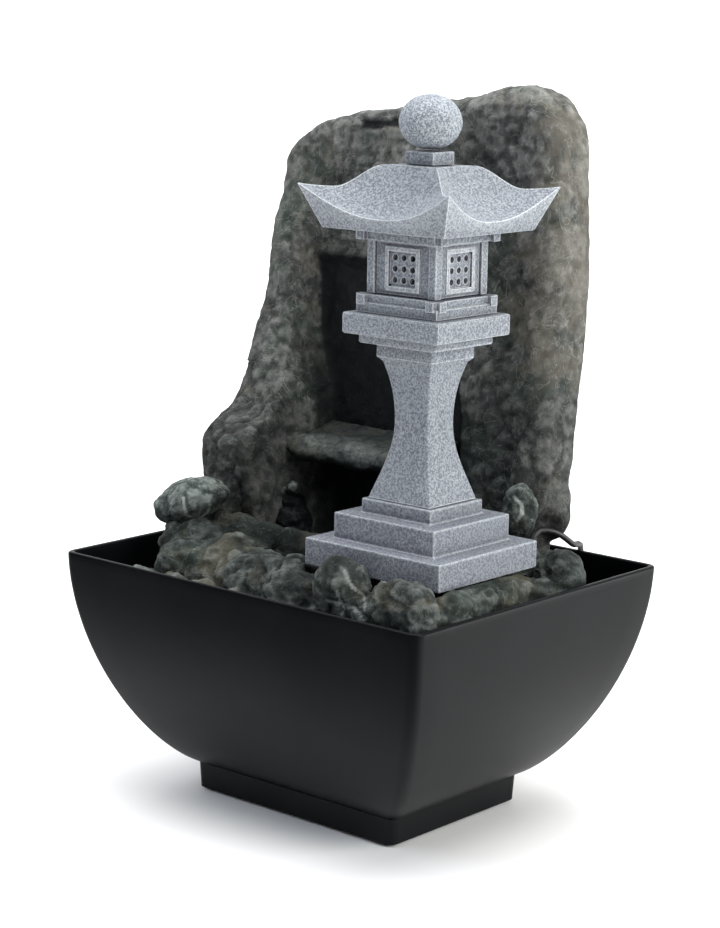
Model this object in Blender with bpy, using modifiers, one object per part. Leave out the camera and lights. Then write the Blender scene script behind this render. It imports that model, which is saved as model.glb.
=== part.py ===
"""Tabletop water fountain: a flared basin on a plinth, a cast rock wall with a cascade niche, a rock bed
with a pool, and a stone lantern. A submersible pump in the basin feeds a hose behind the niche.

Frame: metres, +Z up, origin at the middle of the footprint, on the table. X runs along the long front,
-Y is the front.
"""

import math

import bmesh
import bpy
from mathutils import Matrix, Vector

# ---------------------------------------------------------------- driving dimensions, metres
GAP = 0.0003  # between pieces that touch on the real object
SLIP = 0.0006  # round a piece that slides or turns in another

RIM_W, RIM_D, RIM_H = 0.220, 0.180, 0.118
BASIN_WALL = 0.003
BASIN_CORNER = 0.006
FOOT_W, FOOT_D, FOOT_H = 0.1235, 0.0925, 0.0140
FOOT_WALL = 0.009
FOOT_DRAFT = 0.0006
PAD_R, PAD_H, PAD_INSET = 0.0038, 0.0012, 0.0065

BED_BOTTOM, BED_TOP = 0.0920, 0.1037
LEG_R = 0.0060
LEG_X, LEG_Y = 0.0470, 0.0300
POOL_LIP_Y, POOL_LIP_TOP = -0.0220, 0.1310
DRAIN_X, DRAIN_Y, DRAIN_R = -0.0500, 0.0100, 0.0060

WALL_BACK = 0.0760
WALL_SHOULDER, WALL_PEAK = 0.2640, 0.3425
WALL_EDGE_R = 0.0100
NICHE_LEFT, NICHE_RIGHT = -0.0790, 0.0200
NICHE_BACK = 0.0570
JAMB_STEP = 0.0020
LEDGE_FRONT, LEDGE_TOP, LEDGE_DROP, LEDGE_THICK = 0.0220, 0.1700, 0.0075, 0.0160
LEDGE_CLEAR = 0.0015

LANTERN_X, LANTERN_Y = 0.0526, -0.0186
STEP_1_W, STEP_1_D, STEP_1_H = 0.0790, 0.0705, 0.0126
STEP_2_W, STEP_2_D, STEP_2_H = 0.0588, 0.0542, 0.0121
STEP_3_W, STEP_3_D, STEP_3_H = 0.0406, 0.0372, 0.0067
PEDESTAL_TOP = 0.1264
PILLAR_H = 0.0745
PILLAR_FOOT, PILLAR_WAIST, PILLAR_HEAD = 0.0361, 0.0197, 0.0325
PILLAR_DEPTH_RATIO = 0.926
MOULDING_W, MOULDING_H = 0.0445, 0.0034
PLATE_W, PLATE_D, PLATE_H = 0.0560, 0.0512, 0.0097
SILL_W, SILL_D, SILL_H = 0.0440, 0.0404, 0.0034
RAIL, RAIL_H, RAIL_STUB = 0.0044, 0.0046, 0.0022
BEAM_OVERHANG = 0.0004
CELL_W, CELL_D, CELL_H = 0.0397, 0.0365, 0.0236
POST = 0.0043
PANEL_T, PANEL_RECESS = 0.0020, 0.0014
FRAME_SIDE, FRAME_STRIP, FRAME_PROUD = 0.0198, 0.0020, 0.0008
LATTICE_HOLE_R, LATTICE_PITCH, LATTICE_COUNT = 0.0014, 0.0050, 3
ROOF_BASE_W, ROOF_BASE_D = 0.0700, 0.0636
ROOF_TIP_W, ROOF_TIP_D, ROOF_TIP_RISE = 0.0860, 0.0782, 0.0195
ROOF_EAVE_H, ROOF_H = 0.0058, 0.0281
ROOF_TOP_SHARE = 0.34
CAP_W, CAP_D, CAP_H = 0.0161, 0.0149, 0.0059
BALL_R, BALL_RISE = 0.0142, 0.0126
WIRE_BORE_R = 0.0026

LED_R, LED_BASE_H, LENS_R = 0.0065, 0.0040, 0.0050
LED_WIRE_R = 0.0011

PUMP_X, PUMP_Y = -0.0200, 0.0210
PUMP_W, PUMP_D, PUMP_H = 0.0320, 0.0400, 0.0300
CUP_R, CUP_H = 0.0060, 0.0050
CHAMBER_R, CHAMBER_DEPTH = 0.0112, 0.0090
WELL_R, WELL_DEPTH = 0.0068, 0.0280
SHAFT_R = 0.0010
MAGNET_L, VANE_H, VANE_T, VANE_COUNT = 0.0180, 0.0050, 0.0012, 6
NIPPLE_R, NIPPLE_BORE_R, NIPPLE_H = 0.0032, 0.0021, 0.0080
COVER_W, COVER_H, COVER_DEPTH, COVER_WALL = 0.0270, 0.0240, 0.0080, 0.0016
COVER_SLOTS, COVER_SLOT_W = 5, 0.0020
GATE_W, GATE_H, GATE_T, GATE_TRAVEL = 0.0180, 0.0080, 0.0012, 0.0060

HOSE_R, SPOUT_BORE_R = 0.0046, 0.0026
OUTLET_BACK = 0.0110
RISER_X, RISER_Y, SPOUT_Z = -0.0280, 0.0665, 0.2400

CORD_R = 0.0015
GLAND_R = 0.0036
COIL_X, COIL_Y, COIL_Z = -0.0080, 0.0716, 0.0016
COIL_COLUMNS, COIL_ROWS, COIL_MEAN_R = 3, 4, 0.0180
TIE_W, TIE_T = 0.0050, 0.0009
PLUG_Y = 0.0800
PLUG_L, PLUG_W, PLUG_H = 0.0200, 0.0150, 0.0080
USB_L, USB_W, USB_H, USB_WALL = 0.0185, 0.0120, 0.0045, 0.0004
BOOT_L = 0.0110

# The cord's route from the pump's gland to the coil: along the basin, up past the bed's cut-away corner,
# over the back rim and down to the table.
CORD_ROUTE = [
    (0.0110, 0.0210, 0.0370),
    (0.0170, 0.0211, 0.0368),
    (0.0260, 0.0240, 0.0350),
    (0.0340, 0.0330, 0.0340),
    (0.0410, 0.0410, 0.0370),
    (0.0490, 0.0460, 0.0470),
    (0.0565, 0.0493, 0.0640),
    (0.0610, 0.0510, 0.0860),
    (0.0623, 0.0517, 0.1080),
    (0.0624, 0.0522, 0.1240),
    (0.0628, 0.0550, 0.1318),
    (0.0650, 0.0615, 0.1325),
    (0.0664, 0.0690, 0.1295),
    (0.0660, 0.0765, 0.1254),
    (0.0645, 0.0835, 0.1218),
    (0.0630, 0.0888, 0.1212),
    (0.0620, 0.0922, 0.1204),
    (0.0612, 0.0943, 0.1170),
    (0.0605, 0.0944, 0.1100),
    (0.0570, 0.0940, 0.0850),
    (0.0500, 0.0938, 0.0560),
    (0.0400, 0.0938, 0.0300),
    (0.0310, 0.0936, 0.0130),
    (0.0230, 0.0932, 0.0050),
    (0.0140, 0.0928, 0.0032),
    (0.0050, 0.0926, 0.0031),
]
TAIL_ROUTE = [
    (-0.0210, 0.0926, 0.0120),
    (-0.0260, 0.0922, 0.0104),
    (-0.0310, 0.0900, 0.0078),
    (-0.0350, 0.0865, 0.0056),
    (-0.0385, 0.0828, 0.0045),
    (-0.0430, 0.0806, 0.0042),
    (-0.0467, 0.0800, 0.0042),
]

# Sizes that follow from those above.
HOSE_BORE_R = NIPPLE_R + 0.0005
CHANNEL_R = HOSE_R + 0.0012
BASIN_FLOOR = FOOT_H + GAP + BASIN_WALL
PUMP_Z = BASIN_FLOOR + GAP + CUP_H + GAP
PUMP_TOP = PUMP_Z + PUMP_H
OUTLET_Y = PUMP_Y + OUTLET_BACK
HOSE_END = SPOUT_Z - 0.0120
HOSE_ROUTE = [
    (RISER_X, OUTLET_Y, PUMP_TOP + 0.0031),
    (RISER_X, OUTLET_Y, PUMP_TOP + 0.0111),
    (RISER_X, OUTLET_Y + 0.0040, PUMP_TOP + 0.0221),
    (RISER_X, (OUTLET_Y + RISER_Y) / 2, BED_BOTTOM - 0.0060),
    (RISER_X, RISER_Y - 0.0035, BED_BOTTOM + 0.0045),
    (RISER_X, RISER_Y, BED_TOP + 0.0043),
    (RISER_X, RISER_Y, 0.1300),
    (RISER_X, RISER_Y, 0.1700),
    (RISER_X, RISER_Y, HOSE_END),
]
BASE_Z = PEDESTAL_TOP + GAP
BASE_TOP = BASE_Z + STEP_1_H + STEP_2_H + STEP_3_H
PILLAR_Z = BASE_TOP + GAP
PLATE_Z = PILLAR_Z + PILLAR_H + GAP
SILL_Z = PLATE_Z + PLATE_H + GAP
CELL_Z = SILL_Z + SILL_H + RAIL_H + GAP
BEAM_Z = CELL_Z + CELL_H + GAP
ROOF_Z = BEAM_Z + RAIL_H + GAP
CAP_Z = ROOF_Z + ROOF_H + GAP
BALL_Z = CAP_Z + CAP_H + GAP


# ---------------------------------------------------------------- tools
def clear_scene():
    for old in list(bpy.data.objects):
        bpy.data.objects.remove(old, do_unlink=True)


def new_collection(name):
    made = bpy.data.collections.new(name)
    bpy.context.scene.collection.children.link(made)
    return made


def new_material(name, colour, roughness, metallic=0.0):
    made = bpy.data.materials.new(name)
    made.use_nodes = True
    shader = made.node_tree.nodes["Principled BSDF"]
    shader.inputs["Base Color"].default_value = (*colour, 1)
    shader.inputs["Roughness"].default_value = roughness
    shader.inputs["Metallic"].default_value = metallic
    return made


def add(name, data, material):
    """Links a mesh or curve as the object that stands for one node."""
    made = bpy.data.objects.new(name, data)
    PARTS.objects.link(made)
    if material:
        data.materials.append(material)
    return made


def mesh_from(name, work):
    """Turns a bmesh into a mesh with its faces pointing out."""
    bmesh.ops.recalc_face_normals(work, faces=work.faces)
    data = bpy.data.meshes.new(name)
    work.to_mesh(data)
    work.free()
    return data


def smooth(made, angle=35):
    made.data.shade_smooth()
    made.data.set_sharp_from_angle(angle=math.radians(angle))
    return made


def bevel(made, width, segments=1, angle=30):
    edge = made.modifiers.new("Rounded edges", "BEVEL")
    edge.width = width
    edge.segments = segments
    edge.limit_method = "ANGLE"
    edge.angle_limit = math.radians(angle)
    return made


def box_mesh(name, size, middle):
    work = bmesh.new()
    bmesh.ops.create_cube(work, size=1)
    bmesh.ops.scale(work, vec=size, verts=work.verts)
    bmesh.ops.translate(work, vec=middle, verts=work.verts)
    return mesh_from(name, work)


def rod_mesh(name, radius, length, base, along=(0, 0, 1), end_radius=None, sides=24):
    """A cylinder or cone that starts at base and runs along a direction."""
    work = bmesh.new()
    bmesh.ops.create_cone(
        work,
        cap_ends=True,
        segments=sides,
        radius1=radius,
        radius2=radius if end_radius is None else end_radius,
        depth=length,
    )
    turn = Vector(along).to_track_quat("Z", "Y").to_matrix().to_4x4()
    place = Matrix.Translation(base) @ turn @ Matrix.Translation((0, 0, length / 2))
    bmesh.ops.transform(work, matrix=place, verts=work.verts)
    return mesh_from(name, work)


def ball_mesh(name, radii, middle, turn=(0, 0, 0), across=16, up=10):
    work = bmesh.new()
    bmesh.ops.create_uvsphere(work, u_segments=across, v_segments=up, radius=1)
    bmesh.ops.scale(work, vec=radii, verts=work.verts)
    x, y, z = (math.radians(a) for a in turn)
    spin = Matrix.Rotation(z, 4, "Z") @ Matrix.Rotation(y, 4, "Y") @ Matrix.Rotation(x, 4, "X")
    bmesh.ops.transform(work, matrix=Matrix.Translation(middle) @ spin, verts=work.verts)
    return mesh_from(name, work)


def loft_mesh(name, rings, open_top=False):
    """Joins rings with the same number of points, and closes the ends with flat faces."""
    work = bmesh.new()
    rows = [[work.verts.new(p) for p in ring] for ring in rings]
    for low, high in zip(rows, rows[1:]):
        for k in range(len(low)):
            after = (k + 1) % len(low)
            work.faces.new((low[k], low[after], high[after], high[k]))
    work.faces.new(list(reversed(rows[0])))
    if not open_top:
        work.faces.new(rows[-1])
    return mesh_from(name, work)


def prism_mesh(name, outline, low, high):
    """A flat outline with a thickness along Z: a filled 2D curve, made a mesh."""
    curve = bpy.data.curves.new(name, "CURVE")
    curve.dimensions = "2D"
    curve.fill_mode = "BOTH"
    curve.extrude = (high - low) / 2
    spline = curve.splines.new("POLY")
    spline.points.add(len(outline) - 1)
    for point, (x, y) in zip(spline.points, outline):
        point.co = (x, y, 0, 1)
    spline.use_cyclic_u = True
    guide = bpy.data.objects.new(name, curve)
    CUTTERS.objects.link(guide)
    graph = bpy.context.evaluated_depsgraph_get()
    data = bpy.data.meshes.new_from_object(guide.evaluated_get(graph))
    bpy.data.objects.remove(guide, do_unlink=True)
    work = bmesh.new()
    work.from_mesh(data)
    bmesh.ops.remove_doubles(work, verts=work.verts, dist=1e-6)
    bmesh.ops.translate(work, vec=(0, 0, (low + high) / 2), verts=work.verts)
    return mesh_from(name, work)


def turned(name, profile, material, middle, steps=24):
    """A profile of (radius, height) points, outer side from top to bottom, turned round an axis."""
    data = bpy.data.meshes.new(name)
    edges = [(k, k + 1) for k in range(len(profile) - 1)]
    if profile[0][0] > 0:
        edges.append((len(profile) - 1, 0))
    data.from_pydata([(r, 0, z) for r, z in profile], edges, [])
    made = add(name, data, material)
    made.location = middle
    screw = made.modifiers.new("Turn", "SCREW")
    screw.steps = screw.render_steps = steps
    screw.use_merge_vertices = True
    screw.merge_threshold = 0.00001
    screw.use_smooth_shade = True
    return made


def tube(name, points, radius, material, resolution=2):
    curve = bpy.data.curves.new(name, "CURVE")
    curve.dimensions = "3D"
    curve.bevel_depth = radius
    curve.bevel_resolution = resolution
    curve.use_fill_caps = True
    spline = curve.splines.new("POLY")
    spline.points.add(len(points) - 1)
    for point, place in zip(spline.points, points):
        point.co = (*place, 1)
    return add(name, curve, material)


def as_mesh(made):
    """Replaces a curve object by the mesh it draws, with its caps welded on."""
    graph = bpy.context.evaluated_depsgraph_get()
    data = bpy.data.meshes.new_from_object(made.evaluated_get(graph))
    work = bmesh.new()
    work.from_mesh(data)
    bmesh.ops.remove_doubles(work, verts=work.verts, dist=1e-6)
    name, place = made.name, made.matrix_world.copy()
    material = made.data.materials[0] if made.data.materials else None
    bpy.data.objects.remove(made, do_unlink=True)
    solid = add(name, mesh_from(name, work), material)
    solid.matrix_world = place
    return solid


def tube_data(name, points, radius):
    """A tube's mesh alone, for cutting a bore."""
    bore = as_mesh(tube(name, points, radius, None, 2))
    data = bore.data
    bpy.data.objects.remove(bore, do_unlink=True)
    return data


def boolean(made, data, operation):
    """Joins a mesh to an object or cuts it away. The tool stays in its own collection, out of the render."""
    tool = bpy.data.objects.new(data.name, data)
    CUTTERS.objects.link(tool)
    tool.hide_render = True
    tool.display_type = "WIRE"
    step = made.modifiers.new(data.name, "BOOLEAN")
    step.operation = operation
    step.solver = "EXACT"
    step.object = tool
    return made


def cut(made, data):
    return boolean(made, data, "DIFFERENCE")


def join(made, data):
    return boolean(made, data, "UNION")


def along_curve(route, spacing):
    """Points at an even spacing on a smooth curve through the route's own points."""
    route = [Vector(p) for p in route]
    ends = [2 * route[0] - route[1], *route, 2 * route[-1] - route[-2]]
    dense = [route[0]]
    for k in range(1, len(ends) - 2):
        a, b, c, d = ends[k - 1 : k + 3]
        for step in range(1, 25):
            t = step / 24
            square, cube = 2 * a - 5 * b + 4 * c - d, 3 * b - a - 3 * c + d
            dense.append(0.5 * (2 * b + (c - a) * t + square * t**2 + cube * t**3))
    total = sum((q - p).length for p, q in zip(dense, dense[1:]))
    count = max(2, round(total / spacing))
    kept, walked, wanted = [dense[0]], 0.0, total / count
    for p, q in zip(dense, dense[1:]):
        stretch = (q - p).length
        while walked + stretch >= wanted * len(kept) and len(kept) < count:
            kept.append(p.lerp(q, (wanted * len(kept) - walked) / stretch))
        walked += stretch
    return [*kept, dense[-1]]


def keyed(table, at):
    """Reads a value between the (place, value) pairs of a table, easing in and out of each."""
    if at <= table[0][0]:
        return table[0][1]
    for (low, first), (high, last) in zip(table, table[1:]):
        if at <= high:
            t = (at - low) / (high - low)
            return first + (last - first) * t * t * (3 - 2 * t)
    return table[-1][1]


def softened(corners, radii, steps, between):
    """An outline with its corners rounded, and extra points along its long sides."""
    corners = [Vector(c) for c in corners]
    ends = []
    for k, corner in enumerate(corners):
        before, after = corners[k - 1] - corner, corners[(k + 1) % len(corners)] - corner
        reach = [min(radii[k], 0.45 * side.length) for side in (before, after)]
        ends.append((corner + before.normalized() * reach[0], corner + after.normalized() * reach[1]))
    points = []
    for k, corner in enumerate(corners):
        a, b = ends[k]
        for step in range(steps + 1):
            t = step / steps
            points.append((1 - t) ** 2 * a + 2 * t * (1 - t) * corner + t * t * b)
        nxt = ends[(k + 1) % len(corners)][0]
        points += [b.lerp(nxt, n / (between[k] + 1)) for n in range(1, between[k] + 1)]
    return points


def rounded_rectangle(half_x, half_y, radius, steps=4):
    corners = [(half_x, -half_y), (half_x, half_y), (-half_x, half_y), (-half_x, -half_y)]
    return softened(corners, [radius] * 4, steps, [2, 2, 2, 2])


# ---------------------------------------------------------------- basin
def basin_inset(z):
    """How far the wall has curved in at a height, as a share of its whole inset."""
    down = (RIM_H - z) / (RIM_H - FOOT_H - GAP)
    return 1 - (1 - min(down, 1) ** 1.8) ** (1 / 1.5)


def make_basin():
    bottom = FOOT_H + GAP
    rings = []
    for share in (0, 0.02, 0.06, 0.11, 0.17, 0.25, 0.34, 0.45, 0.57, 0.70, 0.84, 1):
        z = bottom + share * (RIM_H - bottom)
        inset = basin_inset(z)
        half_x = RIM_W / 2 - inset * (RIM_W - FOOT_W) / 2
        half_y = RIM_D / 2 - inset * (RIM_D - FOOT_D) / 2
        rings.append([(p.x, p.y, z) for p in rounded_rectangle(half_x, half_y, BASIN_CORNER)])
    made = add("basin_bowl", loft_mesh("basin_bowl", rings, open_top=True), BLACK_SATIN)
    shell = made.modifiers.new("Wall", "SOLIDIFY")
    shell.thickness = BASIN_WALL
    shell.offset = -1
    shell.use_even_offset = True
    smooth(made, 50)


def make_foot():
    half_x, half_y = FOOT_W / 2, FOOT_D / 2
    rings = []
    for z, out in ((PAD_H + GAP, 0), (FOOT_H, FOOT_DRAFT)):
        rings.append([(p.x, p.y, z) for p in rounded_rectangle(half_x + out, half_y + out, 0.004)])
    made = add("basin_foot", loft_mesh("basin_foot", rings), BLACK_SATIN)
    inside = (FOOT_W - 2 * FOOT_WALL, FOOT_D - 2 * FOOT_WALL, FOOT_H * 2)
    cut(made, box_mesh("foot_hollow", inside, (0, 0, FOOT_H / 2)))
    for k, (side_x, side_y) in enumerate(((-1, -1), (1, -1), (1, 1), (-1, 1)), 1):
        place = (side_x * (half_x - PAD_INSET), side_y * (half_y - PAD_INSET), 0)
        add(f"foot_pad_{k}", rod_mesh("foot_pad", PAD_R, PAD_H, place, sides=16), RUBBER)


# ---------------------------------------------------------------- rockwork
# The top line, as a share of the wall's height above WALL_SHOULDER at each x.
WALL_TOP_SHARE = [
    (-0.0990, 0.446),
    (-0.0924, 0.575),
    (-0.0836, 0.659),
    (-0.0726, 0.729),
    (-0.0440, 0.808),
    (0.0000, 0.864),
    (0.0220, 0.911),
    (0.0374, 0.976),
    (0.0484, 1.000),
    (0.0605, 0.953),
    (0.0700, 0.841),
    (0.0750, 0.701),
]
WALL_LEFT = [
    (0.104, -0.0945),
    (0.132, -0.0985),
    (0.150, -0.1030),
    (0.165, -0.1030),
    (0.200, -0.1012),
    (0.250, -0.1000),
    (0.300, -0.0965),
]
WALL_RIGHT = [
    (0.134, 0.0592),
    (0.150, 0.0690),
    (0.170, 0.0712),
    (0.194, 0.0730),
    (0.223, 0.0758),
    (0.252, 0.0768),
    (0.290, 0.0760),
    (0.310, 0.0740),
]
WALL_FRONT = [(0.104, 0.0520), (0.200, 0.0470), (0.300, 0.0450)]
FLANK_FRONT = [
    (0.104, -0.0020),
    (0.140, -0.0085),
    (0.150, -0.0105),
    (0.163, -0.0105),
    (0.169, -0.0065),
    (0.175, 0.0030),
    (0.181, 0.0115),
    (0.195, 0.0190),
    (0.207, 0.0245),
    (0.220, 0.0280),
    (0.235, 0.0342),
    (0.272, 0.0377),
    (0.300, 0.0430),
    (0.318, 0.0450),
]
NICHE_DEPTH = [(0.247, 1.0), (0.262, 0.08)]
JAMB_LEAN = [(0.104, 0.0080), (0.180, 0.0080), (0.215, 0.0)]


def wall_section(z):
    """The rock wall's outline at a height: a block with a niche in its front and a flank at the left."""
    left, right = keyed(WALL_LEFT, z), keyed(WALL_RIGHT, z)
    front, flank = keyed(WALL_FRONT, z), min(keyed(FLANK_FRONT, z), keyed(WALL_FRONT, z))
    niche_left = NICHE_LEFT + keyed(JAMB_LEAN, z)
    deep = keyed(NICHE_DEPTH, z)
    inner = front + (NICHE_BACK - front) * deep
    corners = [
        (left, WALL_BACK),
        (left, flank),
        (niche_left, flank + 0.001),
        (niche_left + JAMB_STEP, inner),
        (NICHE_RIGHT - 2 * JAMB_STEP, inner),
        (NICHE_RIGHT, front),
        (right, front),
        (right, WALL_BACK),
    ]
    radii = [0.016, 0.010, 0.008, 0.004, 0.004, 0.008, 0.012, 0.007]
    return softened(corners, radii, 3, [2, 0, 1, 4, 0, 2, 0, 7])


def under_top_line(x, z):
    """Brings the upper part of the wall down to its sloping top line."""
    if z <= WALL_SHOULDER:
        return z
    return WALL_SHOULDER + (z - WALL_SHOULDER) * keyed(WALL_TOP_SHARE, x)


def wall_rings():
    heights = [BED_TOP + GAP, 0.120, 0.134, 0.148, 0.156, 0.164, 0.171, 0.179, 0.188, 0.200, 0.215, 0.232]
    heights += [0.247, 0.255, 0.262]
    heights += [WALL_SHOULDER + share * (WALL_PEAK - WALL_SHOULDER) for share in (0.20, 0.46, 0.69)]
    rings = [[(p.x, p.y, under_top_line(p.x, z)) for p in wall_section(z)] for z in heights]
    edge = wall_section(heights[-1])
    middle = Vector(((edge[0].x + NICHE_RIGHT) / 2, (WALL_BACK + keyed(WALL_FRONT, 0.32)) / 2))
    half_y = (WALL_BACK - keyed(WALL_FRONT, 0.32)) / 2
    turned_in = [(math.sin(math.radians(a)), 1 - math.cos(math.radians(a))) for a in (0, 30, 55, 75)]
    for lift, pull in [*turned_in, (1, 1.3)]:
        z = WALL_PEAK - WALL_EDGE_R * (1 - lift)
        inward = WALL_EDGE_R * pull
        ring = []
        for p in edge:
            x = middle.x + (p.x - middle.x) * (1 - inward / 0.080)
            y = middle.y + (p.y - middle.y) * (1 - inward / half_y)
            ring.append((x, y, under_top_line(x, z)))
        rings.append(ring)
    return rings


def make_wall():
    made = add("rock_wall", loft_mesh("rock_wall", wall_rings()), ROCK)
    low = BED_TOP - 0.010
    cut(made, rod_mesh("hose_channel", CHANNEL_R, SPOUT_Z + 0.009 - low, (RISER_X, RISER_Y, low), sides=16))
    mouth = (RISER_X, RISER_Y, SPOUT_Z + 0.002)
    cut(made, rod_mesh("spout_mouth", CHANNEL_R, 0.020, mouth, (0, -1, 0), sides=16))
    smooth(made, 60)


def make_ledge():
    """The slab that the water falls on, sloping down to a rounded lip."""
    left = NICHE_LEFT + keyed(JAMB_LEAN, LEDGE_TOP - LEDGE_THICK) + JAMB_STEP + LEDGE_CLEAR
    right = NICHE_RIGHT - 2 * JAMB_STEP - LEDGE_CLEAR
    back, low = NICHE_BACK - LEDGE_CLEAR, LEDGE_TOP - LEDGE_THICK
    lip = LEDGE_TOP - LEDGE_DROP
    side = [
        (back, low),
        (LEDGE_FRONT + 0.010, low),
        (LEDGE_FRONT, lip - 0.007),
        (LEDGE_FRONT, lip),
        (back, LEDGE_TOP),
    ]
    side = softened(side, [0.001, 0.008, 0.004, 0.004, 0.001], 2, [0] * 5)
    rings = [[(x, p.x, p.y) for p in side] for x in (left, (left + right) / 2, right)]
    smooth(add("cascade_ledge", loft_mesh("cascade_ledge", rings), ROCK), 60)


BED_OUTLINE = [
    (-0.088, -0.060),
    (-0.060, -0.072),
    (0.060, -0.074),
    (0.092, -0.066),
    (0.099, -0.040),
    (0.099, 0.030),
    (0.088, 0.042),
    (0.057, 0.043),
    (0.057, WALL_BACK - 0.001),
    (-0.086, WALL_BACK - 0.001),
    (-0.095, 0.060),
    (-0.095, -0.008),
]
BOULDERS = [
    ((-0.0760, -0.0350, 0.1130), (0.0175, 0.0190, 0.0175), 0),
    ((-0.0500, -0.0520, 0.1150), (0.0170, 0.0150, 0.0130), 10),
    ((-0.0330, -0.0420, 0.1180), (0.0110, 0.0150, 0.0130), 0),
    ((-0.0150, -0.0560, 0.1150), (0.0140, 0.0120, 0.0130), -20),
    ((0.0010, -0.0500, 0.1180), (0.0120, 0.0110, 0.0130), 30),
    ((0.0485, -0.0660, 0.1190), (0.0120, 0.0100, 0.0170), 0),
    ((0.0830, -0.0665, 0.1160), (0.0175, 0.0108, 0.0170), -10),
    ((0.0920, 0.0320, 0.1150), (0.0115, 0.0130, 0.0170), 20),
    ((0.0640, 0.0360, 0.1120), (0.0150, 0.0100, 0.0195), 0),
]


def make_bed():
    outline = softened(BED_OUTLINE, [0.012] * len(BED_OUTLINE), 2, [0] * len(BED_OUTLINE))
    made = add("rock_bed", prism_mesh("rock_bed", [tuple(p) for p in outline], BED_BOTTOM, BED_TOP), ROCK)
    left, right = -0.083, LANTERN_X - STEP_1_W / 2 + 0.004
    front = -0.066
    mass = box_mesh("front_mass", (right - left, POOL_LIP_Y - front, 0.022), (0, 0, 0))
    mass.transform(Matrix.Translation(((left + right) / 2, (POOL_LIP_Y + front) / 2, BED_TOP + 0.006)))
    join(made, mass)
    lip = ball_mesh("pool_lip", (0.052, 0.008, 0.018), (-0.035, POOL_LIP_Y, POOL_LIP_TOP - 0.018), across=20)
    join(made, lip)
    size = (STEP_1_W + 0.004, STEP_1_D + 0.004, PEDESTAL_TOP - BED_TOP + 0.006)
    join(made, box_mesh("pedestal", size, (LANTERN_X, LANTERN_Y, PEDESTAL_TOP - size[2] / 2)))
    for k, (middle, radii, turn) in enumerate(BOULDERS, 1):
        join(made, ball_mesh(f"boulder_{k}", radii, middle, (0, 0, turn), across=14, up=8))
    size = (STEP_1_W + 0.002, STEP_1_D + 0.002, 0.040)
    cut(made, box_mesh("base_room", size, (LANTERN_X, LANTERN_Y, PEDESTAL_TOP + 0.0001 + size[2] / 2)))
    leg_low = BASIN_FLOOR + GAP
    for x in (-LEG_X, LEG_X):
        for y in (-LEG_Y, LEG_Y):
            leg_h = BED_BOTTOM + 0.004 - leg_low
            leg = rod_mesh("leg", LEG_R * 0.8, leg_h, (x, y, leg_low), end_radius=LEG_R, sides=12)
            join(made, leg)
    below = BED_BOTTOM - 0.010
    cut(made, rod_mesh("drain", DRAIN_R, 0.030, (DRAIN_X, DRAIN_Y, below), sides=12))
    cut(made, rod_mesh("bed_wire_bore", WIRE_BORE_R, 0.060, (LANTERN_X, LANTERN_Y, below), sides=12))
    slot_front, slot_back = PUMP_Y + 0.026, RISER_Y + CHANNEL_R
    slot = (CHANNEL_R * 2 + 0.006, slot_back - slot_front, 0.040)
    cut(made, box_mesh("hose_slot", slot, (RISER_X + 0.001, (slot_front + slot_back) / 2, BED_TOP)))
    smooth(made, 40)


def make_loose_stones():
    for name, radii, middle, turn in (
        ("side_boulder", (0.0175, 0.0135, 0.0112), (-0.0810, -0.0330, 0.1428), (0, 0, 20)),
        ("leaning_stone", (0.0085, 0.0068, 0.0128), (0.0665, 0.0365, 0.1452), (0, -14, 10)),
    ):
        smooth(add(name, ball_mesh(name, radii, middle, turn), STONE))


# ---------------------------------------------------------------- lantern
def bored(made, low, high, radius=WIRE_BORE_R):
    return cut(made, rod_mesh(made.name + "_bore", radius, high - low, (LANTERN_X, LANTERN_Y, low), sides=12))


def block_rings(steps):
    """Rectangular rings round the lantern's axis, from (width, depth, height) values."""
    rings = []
    for width, depth, z in steps:
        x, y = width / 2, depth / 2
        corners = ((x, -y), (x, y), (-x, y), (-x, -y))
        rings.append([(LANTERN_X + across, LANTERN_Y + along, z) for across, along in corners])
    return rings


def make_base():
    low, steps = BASE_Z, []
    for width, depth, height in (
        (STEP_1_W, STEP_1_D, STEP_1_H),
        (STEP_2_W, STEP_2_D, STEP_2_H),
        (STEP_3_W, STEP_3_D, STEP_3_H),
    ):
        steps += [(width, depth, low), (width, depth, low + height)]
        low += height
    made = bevel(add("lantern_base", loft_mesh("lantern_base", block_rings(steps)), GRANITE), 0.0008, 2)
    bored(made, BASE_Z - 0.01, BASE_TOP + 0.01)


def pillar_width(share):
    """The hourglass: wide at the foot, narrowest at the waist, flaring to the head."""
    waist = 0.56
    if share < waist:
        sweep = math.pi * 0.62
        flare = (1 - math.cos(sweep * (waist - share) / waist)) / (1 - math.cos(sweep))
        return PILLAR_WAIST + (PILLAR_FOOT - PILLAR_WAIST) * flare
    t = (share - waist) / (1 - waist)
    return PILLAR_WAIST + (PILLAR_HEAD - 0.004 - PILLAR_WAIST) * t**2.2


def make_pillar():
    shaft = PILLAR_H - 0.0120
    steps = [(PILLAR_FOOT, PILLAR_Z)]
    steps += [(pillar_width(k / 12), PILLAR_Z + shaft * k / 12) for k in range(1, 13)]
    block_low, block_high = PILLAR_Z + shaft + 0.0020, PILLAR_Z + PILLAR_H - MOULDING_H - 0.0010
    steps += [(PILLAR_HEAD, block_low), (PILLAR_HEAD, block_high), (PILLAR_HEAD * 0.96, block_high + 0.0010)]
    steps += [(MOULDING_W, block_high + 0.0010), (MOULDING_W, PILLAR_Z + PILLAR_H)]
    rings = block_rings([(w, w * PILLAR_DEPTH_RATIO, z) for w, z in steps])
    made = bevel(add("lantern_pillar", loft_mesh("lantern_pillar", rings), GRANITE), 0.0006, 1)
    bored(made, PILLAR_Z - 0.01, PILLAR_Z + PILLAR_H + 0.01)


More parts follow.
